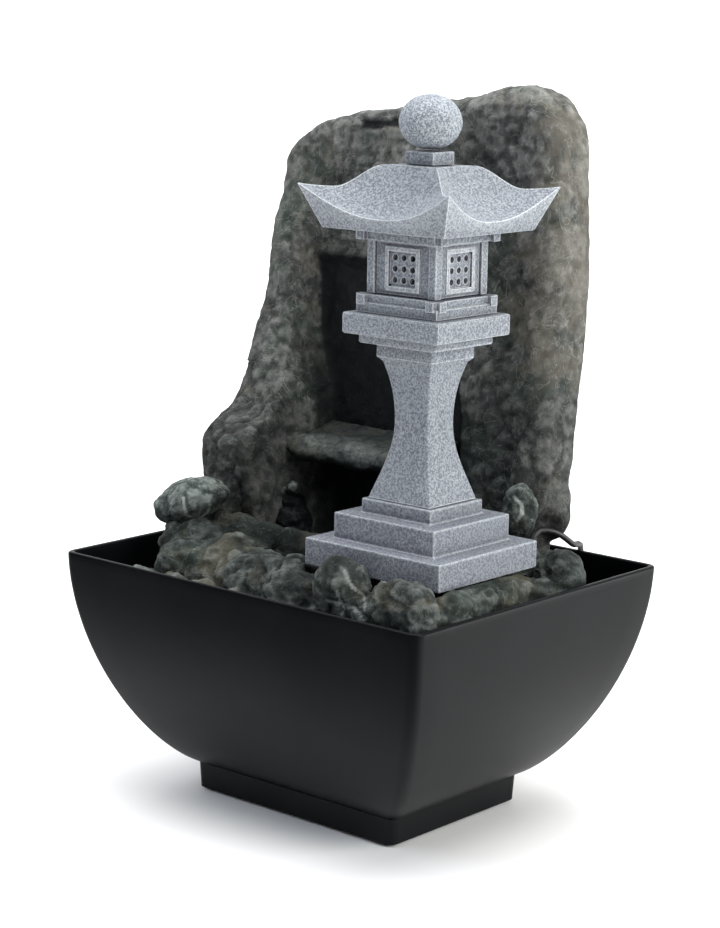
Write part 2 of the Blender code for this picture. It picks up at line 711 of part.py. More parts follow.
def make_plate():
    middle = (LANTERN_X, LANTERN_Y, PLATE_Z + PLATE_H / 2)
    data = box_mesh("lantern_plate", (PLATE_W, PLATE_D, PLATE_H), middle)
    made = bevel(add("lantern_plate", data, GRANITE), 0.0012, 2)
    bored(made, PLATE_Z - 0.01, PLATE_Z + PLATE_H + 0.01)


def make_rails(name, width, depth, low):
    """Four rails that cross at the corners, their ends standing out as stubs, round a solid middle."""
    high = low + RAIL_H
    step = 0.0001

    def bar(part, size_x, size_y, middle_x, middle_y, trim):
        size = (size_x, size_y, RAIL_H - 2 * trim)
        place = (LANTERN_X + middle_x, LANTERN_Y + middle_y, (low + high) / 2)
        return box_mesh(f"{name}_{part}", size, place)

    long_x, long_y = width + 2 * RAIL_STUB, depth + 2 * RAIL_STUB
    off_x, off_y = (width - RAIL) / 2, (depth - RAIL) / 2
    made = add(name, bar("front", long_x, RAIL, 0, -off_y, 0), GRANITE)
    join(made, bar("middle", width - RAIL, depth - RAIL, 0, 0, 2 * step))
    join(made, bar("back", long_x, RAIL, 0, off_y, 0))
    join(made, bar("left", RAIL, long_y, -off_x, 0, step))
    join(made, bar("right", RAIL, long_y, off_x, 0, step))
    return made


def make_sill():
    made = make_rails("lantern_sill", SILL_W, SILL_D, SILL_Z + SILL_H)
    ledge = (SILL_W + RAIL_STUB, SILL_D + RAIL_STUB, SILL_H + 0.0010)
    join(made, box_mesh("sill_ledge", ledge, (LANTERN_X, LANTERN_Y, SILL_Z + ledge[2] / 2)))
    bored(made, SILL_Z - 0.01, CELL_Z + 0.01, LED_R + SLIP)


def make_beams():
    make_rails("lantern_beams", SILL_W + 2 * BEAM_OVERHANG, SILL_D + 2 * BEAM_OVERHANG, BEAM_Z)


def make_posts():
    x, y = (CELL_W - POST) / 2, (CELL_D - POST) / 2
    for k, (side_x, side_y) in enumerate(((-1, -1), (1, -1), (1, 1), (-1, 1)), 1):
        middle = (LANTERN_X + side_x * x, LANTERN_Y + side_y * y, CELL_Z + CELL_H / 2)
        data = box_mesh("lantern_post", (POST, POST, CELL_H), middle)
        bevel(add(f"lantern_post_{k}", data, GRANITE), 0.0003)


def make_windows():
    """Four pierced panels between the posts, each built facing -Y and turned to its side."""
    for name, quarter in (("front", 0), ("right", 1), ("back", 2), ("left", 3)):
        wide, deep = (CELL_W, CELL_D) if quarter % 2 == 0 else (CELL_D, CELL_W)
        width, height = wide - 2 * POST - 2 * GAP, CELL_H - 2 * GAP
        face = -deep / 2 + PANEL_RECESS
        panel = box_mesh("panel", (width, PANEL_T, height), (0, face + PANEL_T / 2, 0))
        made = add(f"lantern_window_{name}", panel, GRANITE)
        root = 0.0004
        size = (FRAME_SIDE, FRAME_PROUD + root, FRAME_SIDE)
        join(made, box_mesh(f"frame_{name}", size, (0, face + (root - FRAME_PROUD) / 2, 0)))
        inside = FRAME_SIDE - 2 * FRAME_STRIP
        size = (inside, FRAME_PROUD * 2, inside)
        cut(made, box_mesh(f"frame_inside_{name}", size, (0, face - FRAME_PROUD, 0)))
        for row in range(LATTICE_COUNT):
            for column in range(LATTICE_COUNT):
                x = (column - (LATTICE_COUNT - 1) / 2) * LATTICE_PITCH
                z = (row - (LATTICE_COUNT - 1) / 2) * LATTICE_PITCH
                start = (x, face - 0.003, z)
                cut(made, rod_mesh(f"hole_{name}", LATTICE_HOLE_R, 0.008, start, (0, 1, 0), sides=6))
        made.location = (LANTERN_X, LANTERN_Y, CELL_Z + CELL_H / 2)
        made.rotation_euler.z = quarter * math.pi / 2
        for step in made.modifiers:
            step.object.location = made.location
            step.object.rotation_euler = made.rotation_euler


def roof_height(share, corner):
    """Height of the roof's top side above its base: share runs from the middle to the eave, and corner
    from the middle of a side to a hip."""
    out = max(0.0, (share - ROOF_TOP_SHARE) / (1 - ROOF_TOP_SHARE))
    side = ROOF_EAVE_H + (ROOF_H - ROOF_EAVE_H) * (1 - out) ** 1.5
    dip = keyed([(0, 0), (0.58, 1)], out)
    hip = ROOF_H - (ROOF_H - ROOF_TIP_RISE + 0.0012) * dip + 0.0012 * max(0.0, (out - 0.58) / 0.42) ** 2
    weight = corner**2.4
    return side * (1 - weight) + hip * weight


def roof_rings(per_side=10):
    """Rings from the base, up the sloping eave face, and over the curved top to its flat middle."""
    around = []
    for quarter in range(4):
        for k in range(per_side):
            along = -1 + 2 * k / per_side
            around.append(((1, along), (-along, 1), (-1, -along), (along, -1))[quarter])
    half_x, half_y = ROOF_BASE_W / 2, ROOF_BASE_D / 2
    made = [[(LANTERN_X + x * half_x, LANTERN_Y + y * half_y, ROOF_Z) for x, y in around]]
    for share in (1, 0.93, 0.85, 0.76, 0.66, 0.56, 0.46, 0.39, ROOF_TOP_SHARE):
        ring = []
        for x, y in around:
            corner = min(abs(x), abs(y))
            eave = roof_height(1, corner) / ROOF_TIP_RISE
            half_x = (ROOF_BASE_W + (ROOF_TIP_W - ROOF_BASE_W) * eave) / 2
            half_y = (ROOF_BASE_D + (ROOF_TIP_D - ROOF_BASE_D) * eave) / 2
            z = ROOF_Z + roof_height(share, corner)
            ring.append((LANTERN_X + x * half_x * share, LANTERN_Y + y * half_y * share, z))
        made.append(ring)
    return made


def make_roof():
    smooth(add("lantern_roof", loft_mesh("lantern_roof", roof_rings()), GRANITE), 30)
    data = box_mesh("lantern_cap", (CAP_W, CAP_D, CAP_H), (LANTERN_X, LANTERN_Y, CAP_Z + CAP_H / 2))
    bevel(add("lantern_cap", data, GRANITE), 0.0006, 2)
    flat = 0.0035
    middle = BALL_Z + BALL_RISE * math.sqrt(1 - (flat / BALL_R) ** 2)
    profile = [(0, middle + BALL_RISE)]
    for k in range(1, 14):
        angle = math.radians(90 - 13 * k)
        r, z = BALL_R * math.cos(angle), middle + BALL_RISE * math.sin(angle)
        if z > BALL_Z + 0.0004:
            profile.append((r, z))
    profile += [(flat, BALL_Z), (0, BALL_Z)]
    turned("lantern_finial", profile, GRANITE, (LANTERN_X, LANTERN_Y, 0), steps=28)


# ---------------------------------------------------------------- light
def make_light():
    low = PLATE_Z + PLATE_H + GAP
    foot = low + LED_BASE_H
    recess = low + 0.0010
    base = [(0, foot), (LED_R, foot), (LED_R, low), (WIRE_BORE_R, low), (WIRE_BORE_R, recess), (0, recess)]
    turned("led_base", base, WHITE_PLASTIC, (LANTERN_X, LANTERN_Y, 0), steps=20)
    dome_low = foot + GAP
    dome = [(0, dome_low + LENS_R + 0.002)]
    for k in range(1, 6):
        angle = math.radians(90 - 18 * k)
        dome.append((LENS_R * math.cos(angle), dome_low + 0.002 + LENS_R * math.sin(angle)))
    dome += [(LENS_R, dome_low), (0, dome_low)]
    turned("led_lens", dome, CLEAR, (LANTERN_X, LANTERN_Y, 0), steps=20)
    plug_top, joint, socket_low = PUMP_TOP + 0.0200, PUMP_TOP + 0.0100, PUMP_TOP + GAP
    place = (PUMP_X + 0.0090, PUMP_Y - 0.0120)
    route = [
        (LANTERN_X, LANTERN_Y, low + 0.0006),
        (LANTERN_X, LANTERN_Y, 0.2000),
        (LANTERN_X, LANTERN_Y, 0.1500),
        (LANTERN_X, LANTERN_Y, BED_TOP + 0.0013),
        (LANTERN_X - 0.002, LANTERN_Y + 0.001, BED_BOTTOM - 0.0040),
        (LANTERN_X - 0.016, LANTERN_Y + 0.007, BED_BOTTOM - 0.0130),
        (LANTERN_X - 0.040, LANTERN_Y + 0.020, plug_top + 0.0091),
        (place[0] + 0.004, place[1], plug_top + 0.0101),
        (place[0], place[1], plug_top + 0.0051),
        (place[0], place[1], plug_top + GAP),
    ]
    tube("led_lead", along_curve(route, 0.0055), LED_WIRE_R, CABLE_BLACK, 1)
    low = joint + GAP
    profile = [(0, plug_top), (0.0022, plug_top), (0.0032, plug_top - 0.003), (0.0032, low), (0, low)]
    turned("led_coupler_plug", profile, CABLE_BLACK, (*place, 0), steps=16)
    profile = [(0, joint), (0.0036, joint), (0.0036, socket_low), (0, socket_low)]
    turned("led_coupler_socket", profile, CABLE_BLACK, (*place, 0), steps=16)


# ---------------------------------------------------------------- pump
def make_pump():
    face = PUMP_Y - PUMP_D / 2
    axis_z = PUMP_Z + PUMP_H / 2
    inward = (0, 1, 0)
    block = box_mesh("pump_body", (PUMP_W, PUMP_D, PUMP_H), (PUMP_X, PUMP_Y, axis_z))
    made = bevel(add("pump_body", block, PUMP_BLACK), 0.0020, 2)
    start = (RISER_X, OUTLET_Y, PUMP_TOP - 0.002)
    join(made, rod_mesh("nipple", NIPPLE_R, NIPPLE_H + 0.002, start, sides=16))
    cut(made, rod_mesh("chamber", CHAMBER_R, CHAMBER_DEPTH + 0.010, (PUMP_X, face - 0.010, axis_z), inward))
    cut(made, rod_mesh("rotor_well", WELL_R, WELL_DEPTH, (PUMP_X, face, axis_z), inward))
    shaft_end = WELL_DEPTH + 0.0040
    cut(made, rod_mesh("shaft_seat", SHAFT_R + GAP, shaft_end, (PUMP_X, face, axis_z), inward, sides=16))
    cut(made, rod_mesh("outlet_bore", NIPPLE_BORE_R, PUMP_H, (RISER_X, OUTLET_Y, axis_z + 0.009), sides=12))
    smooth(made)
    shaft_l, shaft_start = shaft_end - 0.0010 - GAP, (PUMP_X, face + 0.0010, axis_z)
    shaft = rod_mesh("impeller_shaft", SHAFT_R, shaft_l, shaft_start, inward, sides=16)
    add("impeller_shaft", shaft, CERAMIC)
    make_impeller(face, axis_z)
    low, top = BASIN_FLOOR + GAP, BASIN_FLOOR + GAP + CUP_H
    profile = [(0, top), (0.0020, top), (0.0024, low + 0.0028), (CUP_R, low)]
    profile += [(CUP_R - 0.0014, low), (0, low + 0.0012)]
    out_x, out_y = PUMP_W / 2 - CUP_R - 0.001, PUMP_D / 2 - CUP_R - 0.001
    for k, (side_x, side_y) in enumerate(((-1, -1), (1, -1), (1, 1), (-1, 1)), 1):
        place = (PUMP_X + side_x * out_x, PUMP_Y + side_y * out_y, 0)
        turned(f"suction_cup_{k}", profile, RUBBER_CLEAR, place, steps=16)
    make_intake(face, axis_z)
    start = (PUMP_X + PUMP_W / 2 + GAP, PUMP_Y, CORD_ROUTE[0][2])
    length = CORD_ROUTE[0][0] - GAP - start[0] - GAP
    gland = rod_mesh("lead_gland", GLAND_R, length, start, (1, 0, 0), CORD_R + SLIP, sides=16)
    add("lead_gland", gland, CABLE_BLACK)


def make_impeller(face, axis_z):
    """Magnet and vanes, bored for the shaft, each with its origin on the shaft's axis."""
    back = face + CHAMBER_DEPTH
    inward = (0, 1, 0)
    magnet = rod_mesh("impeller_magnet", WELL_R - SLIP, MAGNET_L, (0, 0, 0), inward, sides=20)
    made = add("impeller_magnet", magnet, MAGNET)
    cut(made, rod_mesh("magnet_bore", SHAFT_R + GAP, MAGNET_L + 0.002, (0, -0.001, 0), inward, sides=12))
    made.location = (PUMP_X, back + GAP, axis_z)
    made.modifiers[-1].object.location = made.location
    disc_t = 0.0014
    vanes = rod_mesh("impeller_vanes", CHAMBER_R - 2 * SLIP, disc_t, (0, -disc_t, 0), inward, sides=24)
    made = add("impeller_vanes", vanes, WHITE_PLASTIC)
    hub = SHAFT_R + 0.0006
    reach = CHAMBER_R - 3 * SLIP - hub
    for k in range(VANE_COUNT):
        place = (0, -disc_t - VANE_H / 2 + 0.0003, hub + reach / 2)
        blade = box_mesh(f"vane_{k}", (VANE_T, VANE_H, reach), place)
        blade.transform(Matrix.Rotation(k * 2 * math.pi / VANE_COUNT, 4, "Y"))
        join(made, blade)
    cut(made, rod_mesh("vane_bore", SHAFT_R + GAP, 0.012, (0, -0.009, 0), inward, sides=12))
    made.location = (PUMP_X, back - GAP, axis_z)
    for step in made.modifiers:
        step.object.location = made.location


def make_intake(face, axis_z):
    """A slotted cover that pulls off the pump's face, with a gate that slides over its slots."""
    back, front = face - GAP, face - GAP - COVER_DEPTH
    middle = (PUMP_X, (back + front) / 2, axis_z)
    block = box_mesh("intake_cover", (COVER_W, COVER_DEPTH, COVER_H), middle)
    made = bevel(add("intake_cover", block, PUMP_BLACK), 0.0010)
    hollow = (COVER_W - 2 * COVER_WALL, COVER_DEPTH, COVER_H - 2 * COVER_WALL)
    cut(made, box_mesh("cover_hollow", hollow, (PUMP_X, middle[1] + COVER_WALL, axis_z)))
    for k in range(COVER_SLOTS):
        x = PUMP_X + (k - (COVER_SLOTS - 1) / 2) * COVER_SLOT_W * 2
        cut(made, box_mesh(f"cover_slot_{k}", (COVER_SLOT_W, 0.006, COVER_H * 0.5), (x, front, axis_z)))
    rest = axis_z - GATE_TRAVEL / 2 - 0.0050
    middle = (PUMP_X, front - GAP - GATE_T / 2, rest)
    block = box_mesh("flow_gate", (GATE_W, GATE_T, GATE_H), middle)
    made = bevel(add("flow_gate", block, RED_PLASTIC), 0.0003)
    join(made, box_mesh("gate_tab", (0.006, 0.0022, 0.0022), (PUMP_X, middle[1] - 0.0013, rest)))


# ---------------------------------------------------------------- hose and cord
def make_hose():
    route = along_curve(HOSE_ROUTE, 0.0080)
    past = Vector((0, 0, 0.004))
    made = as_mesh(tube("riser_hose", route, HOSE_R, CLEAR_HOSE))
    smooth(cut(made, tube_data("hose_bore", [route[0] - past, *route, route[-1] + past], HOSE_BORE_R)), 50)
    start = Vector((RISER_X, RISER_Y, HOSE_END + GAP))
    bend = ((0, 0), (0, 0.0060), (-0.0012, 0.0110), (-0.0045, 0.0138), (-0.0095, 0.0140), (-0.0150, 0.0135))
    points = along_curve([start + Vector((0, y, z)) for y, z in bend], 0.0028)
    made = as_mesh(tube("spout", points, HOSE_R, PUMP_BLACK))
    line = [points[0] - past / 2, *points, points[-1] + Vector((0, -0.002, 0))]
    smooth(cut(made, tube_data("spout_bore", line, SPOUT_BORE_R)), 50)


def make_cord():
    tube("supply_cord", along_curve(CORD_ROUTE, CORD_R * 2 * 2.3), CORD_R, CABLE_BLACK)
    tube("supply_cord_tail", along_curve(TAIL_ROUTE, CORD_R * 2 * 1.5), CORD_R, CABLE_BLACK)
    pitch = 2 * CORD_R * 1.03
    half = COIL_COLUMNS * pitch / 2
    top = COIL_Z + COIL_ROWS * pitch
    soft = CORD_R
    inner, outer = COIL_MEAN_R - half, COIL_MEAN_R + half
    profile = [(inner, top - soft), (inner + soft, top), (outer - soft, top), (outer, top - soft)]
    profile += [(outer, COIL_Z + soft), (outer - soft, COIL_Z)]
    profile += [(inner + soft, COIL_Z), (inner, COIL_Z + soft)]
    turned("supply_cord_coil", profile, CABLE_BLACK, (COIL_X, COIL_Y, 0), steps=28)
    make_tie(half, top)
    make_plug()


def make_tie(half, top):
    """A band round the bundle, on the side towards the foot's end."""
    clear = 0.0006
    size = (2 * half + 2 * (TIE_T + clear), TIE_W, top - COIL_Z + 2 * (TIE_T + clear))
    place = (COIL_X - COIL_MEAN_R, COIL_Y, (top + COIL_Z) / 2)
    made = bevel(add("coil_tie", box_mesh("coil_tie", size, place), TIE_GREY), 0.0006, 2)
    bundle = (size[0] - 2 * TIE_T, 0.02, size[2] - 2 * TIE_T)
    cut(made, box_mesh("tie_inside", bundle, place))


def make_plug():
    z = TAIL_ROUTE[-1][2]
    boot_start = TAIL_ROUTE[-1][0] - 2 * GAP
    start = (boot_start, PLUG_Y, z)
    boot = rod_mesh("plug_boot", CORD_R + 0.0004, BOOT_L, start, (-1, 0, 0), 0.0032, sides=16)
    add("plug_boot", boot, CABLE_BLACK)
    right = boot_start - BOOT_L - GAP
    middle = (right - PLUG_L / 2, PLUG_Y, z)
    body = box_mesh("plug_body", (PLUG_L, PLUG_W, PLUG_H), middle)
    bevel(add("plug_body", body, CABLE_BLACK), 0.0012, 2)
    shell_right = right - PLUG_L - GAP
    middle = (shell_right - USB_L / 2, PLUG_Y, z)
    made = add("plug_shell", box_mesh("plug_shell", (USB_L, USB_W, USB_H), middle), STEEL)
    hollow = (USB_L, USB_W - 2 * USB_WALL, USB_H - 2 * USB_WALL)
    cut(made, box_mesh("shell_hollow", hollow, (middle[0] - USB_WALL, PLUG_Y, z)))
    tongue = (USB_L - 0.0030, hollow[1] - 2 * GAP, 0.0018)
    place = (shell_right - USB_WALL - GAP - tongue[0] / 2, PLUG_Y, z + 0.0006)
    add("plug_tongue", box_mesh("plug_tongue", tongue, place), WHITE_PLASTIC)


# ---------------------------------------------------------------- the fountain
clear_scene()
PARTS = new_collection("tabletop_fountain")
CUTTERS = new_collection("cutters")
BLACK_SATIN = new_material("black_satin_plastic", (0.030, 0.031, 0.032), 0.38)
RUBBER = new_material("foot_rubber", (0.020, 0.020, 0.020), 0.85)
ROCK = new_material("cast_rock", (0.105, 0.105, 0.088), 0.75)
STONE = new_material("grey_green_stone", (0.165, 0.185, 0.160), 0.70)
GRANITE = new_material("speckled_granite", (0.420, 0.420, 0.460), 0.80)
PUMP_BLACK = new_material("pump_plastic", (0.025, 0.025, 0.028), 0.45)
RED_PLASTIC = new_material("gate_plastic", (0.350, 0.040, 0.030), 0.45)
WHITE_PLASTIC = new_material("white_plastic", (0.800, 0.800, 0.780), 0.40)
CERAMIC = new_material("ceramic_pin", (0.850, 0.850, 0.830), 0.25)
MAGNET = new_material("ferrite_magnet", (0.080, 0.080, 0.085), 0.50)
CLEAR = new_material("clear_lens", (0.900, 0.880, 0.780), 0.10)
CLEAR_HOSE = new_material("clear_hose", (0.700, 0.740, 0.740), 0.20)
RUBBER_CLEAR = new_material("cup_rubber", (0.450, 0.450, 0.430), 0.50)
CABLE_BLACK = new_material("cable_black", (0.015, 0.015, 0.015), 0.50)
TIE_GREY = new_material("tie_plastic", (0.060, 0.060, 0.060), 0.60)
STEEL = new_material("plug_steel", (0.620, 0.620, 0.600), 0.30, 1.0)

make_basin()
make_foot()
make_wall()
make_ledge()
make_bed()
make_loose_stones()
make_base()
make_pillar()
make_plate()
make_sill()
make_beams()
make_posts()
make_windows()
make_roof()
make_light()
make_pump()
make_hose()
make_cord()
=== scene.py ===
# %% [markdown]
# # A tabletop water fountain
# A black basin on a low foot holds a cast rock wall with a niche, a bed of boulders round a small pool,
# and a stone lantern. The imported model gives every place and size, and this lesson dresses it.

# %% Load the frame
import math

import bmesh
import bpy
from mathutils import Matrix, Vector, noise


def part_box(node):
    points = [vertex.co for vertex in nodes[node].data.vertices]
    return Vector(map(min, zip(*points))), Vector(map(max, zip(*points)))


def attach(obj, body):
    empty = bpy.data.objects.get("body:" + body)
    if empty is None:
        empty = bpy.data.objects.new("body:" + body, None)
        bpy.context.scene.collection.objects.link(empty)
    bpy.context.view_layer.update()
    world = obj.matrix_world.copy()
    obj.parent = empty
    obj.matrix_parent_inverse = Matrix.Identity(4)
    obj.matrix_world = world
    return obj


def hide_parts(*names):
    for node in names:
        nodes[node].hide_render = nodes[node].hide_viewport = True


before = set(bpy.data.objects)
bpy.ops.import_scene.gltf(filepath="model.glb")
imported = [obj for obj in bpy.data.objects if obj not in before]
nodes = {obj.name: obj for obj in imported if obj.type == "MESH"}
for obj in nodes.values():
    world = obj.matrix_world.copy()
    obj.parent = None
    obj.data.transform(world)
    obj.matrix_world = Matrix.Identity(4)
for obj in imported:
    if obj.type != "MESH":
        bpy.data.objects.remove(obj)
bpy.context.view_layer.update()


# %% [markdown]
# ## Where the eye is
# The camera stands to the right of the front, a little above the lantern, and looks down eleven degrees.
# Turning it in three steps (turn, tilt, roll) keeps each number readable on its own.

# %% Camera
turn, tilt, roll = math.radians(40.86), math.radians(11.09), math.radians(1.0)
eye = Vector((0.7214, -0.8353, 0.3802))
lens = bpy.data.cameras.new("viewing_lens")
lens.lens = 92.21
lens.sensor_width = 36
lens.clip_end = 30
camera = bpy.data.objects.new("viewing_camera", lens)
bpy.context.scene.collection.objects.link(camera)
aim = Matrix.Rotation(turn, 3, "Z") @ Matrix.Rotation(math.pi / 2 - tilt, 3, "X")
aim = aim @ Matrix.Rotation(roll, 3, "Z")
camera.matrix_world = Matrix.Translation(eye) @ aim.to_4x4()
bpy.context.scene.camera = camera
print("camera", round(eye.length, 3), "m from the middle of the foot")


# %% [markdown]
# ## Shader maths that reads as Python
# A material's values live in sockets. Wrapping a socket in a small class lets an expression such as
# `1 - mask * 0.5` add its own Math nodes, so each finish below reads as a recipe.

# %% Socket maths
class Value:
    """A socket that can be added, taken away and multiplied."""

    def __init__(self, paint, socket):
        self.paint = paint
        self.socket = socket

    def _with(self, operation, first, second):
        return self.paint.node("Math", {"operation": operation}, {0: first, 1: second})

    def __add__(self, other):
        return self._with("ADD", self, other)

    def __sub__(self, other):
        return self._with("SUBTRACT", self, other)

    def __rsub__(self, other):
        return self._with("SUBTRACT", other, self)

    def __mul__(self, other):
        return self._with("MULTIPLY", self, other)

    __radd__ = __add__
    __rmul__ = __mul__


# %% A paint pot
class Paint:
    """One material: a Principled shader and the nodes that feed it."""

    def __init__(self, name, **fixed):
        self.material = bpy.data.materials.new(name)
        self.material.use_nodes = True
        self.tree = self.material.node_tree
        self.shader = self.tree.nodes["Principled BSDF"]
        self.set(**fixed)

    def set(self, **values):
        """Sets the shader's sockets by name, with _ for a space."""
        for name, value in values.items():
            self.feed(self.shader.inputs[name.replace("_", " ")], value)

    def feed(self, socket, value):
        if isinstance(value, Value):
            self.tree.links.new(value.socket, socket)
        elif isinstance(value, tuple) and socket.type == "RGBA":
            socket.default_value = (*value, 1)
        else:
            socket.default_value = value

    def node(self, kind, settings=None, sockets=None, out=0):
        """Any other node: its type, its settings first, then what its sockets hold."""
        made = self.tree.nodes.new("ShaderNode" + kind)
        for name, value in (settings or {}).items():
            if name == "stops":
                self.stops(made.color_ramp, value)
            else:
                setattr(made, name, value)
        for name, value in (sockets or {}).items():
            self.feed(made.inputs[name], value)
        return Value(self, made.outputs[out])

    @staticmethod
    def stops(ramp, wanted):
        while len(ramp.elements) < len(wanted):
            ramp.elements.new(1.0)
        for stop, (place, colour) in zip(ramp.elements, wanted):
            stop.position = place
            stop.color = (*colour, 1)


# %% [markdown]
# ## Shared brush strokes
# Noise in the object's own metres keeps every grain its real size. `between` turns a value into a soft
# mask, and `mix` lays one colour over another.

# %% Brush strokes
def grain(paint, size, detail=2.0, roughness=0.5, warp=0.0):
    """Noise whose lumps are about size metres across, from 0 to 1."""
    place = paint.node("TexCoord", out=3)
    scaled = paint.node("Mapping", sockets={"Vector": place, "Scale": (1 / size, 1 / size, 1 / size)})
    sockets = {"Vector": scaled, "Scale": 1.0, "Detail": detail, "Roughness": roughness, "Distortion": warp}
    return paint.node("TexNoise", sockets=sockets)


def between(paint, value, low, high):
    """0 below low, 1 above high, and a smooth step from one to the other."""
    sockets = {"Value": value, "From Min": low, "From Max": high}
    return paint.node("MapRange", {"interpolation_type": "SMOOTHSTEP"}, sockets)


def mix(paint, amount, under, over):
    """Lays one colour over another."""
    return paint.node("Mix", {"data_type": "RGBA"}, {0: amount, 6: under, 7: over}, out=2)


def bump(paint, height, depth, strength=1.0):
    """A bent normal for relief too fine to carve, depth metres from low to high."""
    return paint.node("Bump", sockets={"Strength": strength, "Distance": depth, "Height": height})


def attribute(paint, name):
    """A number kept on each point or face of a mesh, 0 where a mesh has none."""
    return paint.node("Attribute", {"attribute_name": name}, out=2)


# %% [markdown]
# ## Pieces
# Each new piece is made as a mesh in the model's own frame, takes a finish, and rides on the body it
# belongs to. Where it stands for a plain solid of the frame, that solid is hidden.

# %% Making a piece
def piece(name, mesh, paint, body, slot, *stands_for):
    made = bpy.data.objects.new(name, mesh)
    bpy.context.scene.collection.objects.link(made)
    mesh.materials.clear()
    mesh.materials.append(paint.material)
    if stands_for:
        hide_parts(*stands_for)
    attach(made, body)
    print(f"{name}: {len(mesh.polygons)} faces")
    return made


def mesh_of(name, work, soft=None):
    """A finished mesh. With soft, edges sharper than that angle in degrees stay sharp."""
    bmesh.ops.recalc_face_normals(work, faces=work.faces)
    mesh = bpy.data.meshes.new(name)
    work.to_mesh(mesh)
    work.free()
    if soft is not None:
        mesh.shade_smooth()
        mesh.set_sharp_from_angle(angle=math.radians(soft))
    return mesh


def loft(name, rings, soft=None):
    """Skins a stack of rings that have the same number of points, and closes both ends."""
    work = bmesh.new()
    rows = [[work.verts.new(p) for p in ring] for ring in rings]
    for low, high in zip(rows, rows[1:]):
        for k in range(len(low)):
            after = (k + 1) % len(low)
            work.faces.new((low[k], low[after], high[after], high[k]))
    work.faces.new(list(reversed(rows[0])))
    work.faces.new(rows[-1])
    return mesh_of(name, work, soft)


def smoothstep(low, high, at):
    """0 at low, 1 at high, easing between them. Low may be the greater."""
    t = min(1.0, max(0.0, (at - low) / (high - low)))
    return t * t * (3 - 2 * t)


def keep(mesh, name, values, domain="POINT"):
    """Stores a number for each point or face, for a paint to read."""
    kept = mesh.attributes.new(name, "FLOAT", domain)
    for slot, value in zip(kept.data, values):
        slot.value = value
    return mesh


def corners_of(name):
    """The low and high corners of one of the frame's solids."""
    return [Vector(corner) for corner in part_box(name)]


# %% [markdown]
# ## The supply cord
# A light black lead, three millimetres thick, climbs from the pump past the bed's cut corner, arches over
# the back rim and drops to the table. The part nobody needs is wound in a tight coil of twelve turns
# behind the basin, with its plug beside it. One smooth curve runs through all of it.

# %% Smooth line through chosen points
def flowing(route, spacing):
    """Evenly spaced points on a smooth curve through the route."""
    route = [Vector(p) for p in route]
    ends = [2 * route[0] - route[1], *route, 2 * route[-1] - route[-2]]
    dense = [route[0]]
    for k in range(1, len(ends) - 2):
        a, b, c, d = ends[k - 1 : k + 3]
        for step in range(1, 25):
            t = step / 24
            square, cube = t * t, t**3
            part = 2 * b + (c - a) * t + (2 * a - 5 * b + 4 * c - d) * square + (3 * b - a - 3 * c + d) * cube
            dense.append(0.5 * part)
    total = sum((q - p).length for p, q in zip(dense, dense[1:]))
    count = max(2, round(total / spacing))
    kept, walked, wanted = [dense[0]], 0.0, total / count
    for p, q in zip(dense, dense[1:]):
        stretch = (q - p).length
        while walked + stretch >= wanted * len(kept) and len(kept) < count:
            kept.append(p.lerp(q, (wanted * len(kept) - walked) / stretch))
        walked += stretch
    return [*kept, dense[-1]]


# %% Cord route
CORD_D = 0.003
OUT_OF_PUMP = [
    (0.0110, 0.0210, 0.0370), (0.0170, 0.0211, 0.0368), (0.0260, 0.0240, 0.0350), (0.0340, 0.0330, 0.0340),
    (0.0410, 0.0410, 0.0370), (0.0490, 0.0460, 0.0470), (0.0565, 0.0493, 0.0640), (0.0610, 0.0510, 0.0860),
    (0.0623, 0.0517, 0.1080), (0.0624, 0.0522, 0.1240), (0.0628, 0.0550, 0.1318), (0.0650, 0.0615, 0.1325),
    (0.0664, 0.0690, 0.1295), (0.0660, 0.0765, 0.1254), (0.0645, 0.0835, 0.1218), (0.0630, 0.0888, 0.1212),
    (0.0620, 0.0922, 0.1204), (0.0612, 0.0943, 0.1170), (0.0605, 0.0944, 0.1100), (0.0570, 0.0940, 0.0850),
    (0.0500, 0.0938, 0.0560), (0.0400, 0.0938, 0.0300), (0.0310, 0.0936, 0.0130), (0.0230, 0.0932, 0.0050),
    (0.0140, 0.0928, 0.0032),
]
INTO_PLUG = [
    (-0.0210, 0.0926, 0.0120), (-0.0260, 0.0922, 0.0104), (-0.0310, 0.0900, 0.0078),
    (-0.0350, 0.0865, 0.0056), (-0.0385, 0.0828, 0.0045), (-0.0430, 0.0806, 0.0042),
    (-0.0467, 0.0800, 0.0042),
]


# %% Coil
def coil_points():
    """Twelve turns in four layers of three, wound inwards and outwards by turns, a diameter apart."""
    low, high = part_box("supply_cord_coil")
    middle = ((low[0] + high[0]) / 2, (low[1] + high[1]) / 2)
    pitch = CORD_D * 1.03
    outer = (high[0] - low[0]) / 2 - CORD_D / 2 - 0.00005
    across, layers, per_turn, change = 3, 4, 36, 0.80
    seats = []
    for layer in range(layers):
        columns = range(across) if layer % 2 == 0 else reversed(range(across))
        seats += [(column, layer) for column in columns]
    points = []
    for k in range(len(seats) * per_turn + 1):
        n, along = min(k // per_turn, len(seats) - 1), k / per_turn - min(k // per_turn, len(seats) - 1)
        here, after = seats[n], seats[min(n + 1, len(seats) - 1)]
        t = max(0.0, (along - change) / (1 - change))
        ease = t * t * (3 - 2 * t)
        radius = outer - pitch * (here[0] + (after[0] - here[0]) * ease)
        height = low[2] + CORD_D / 2 + pitch * (here[1] + (after[1] - here[1]) * ease)
        angle = math.pi / 2 + 2 * math.pi * k / per_turn
        points.append((middle[0] + radius * math.cos(angle), middle[1] + radius * math.sin(angle), height))
    return points


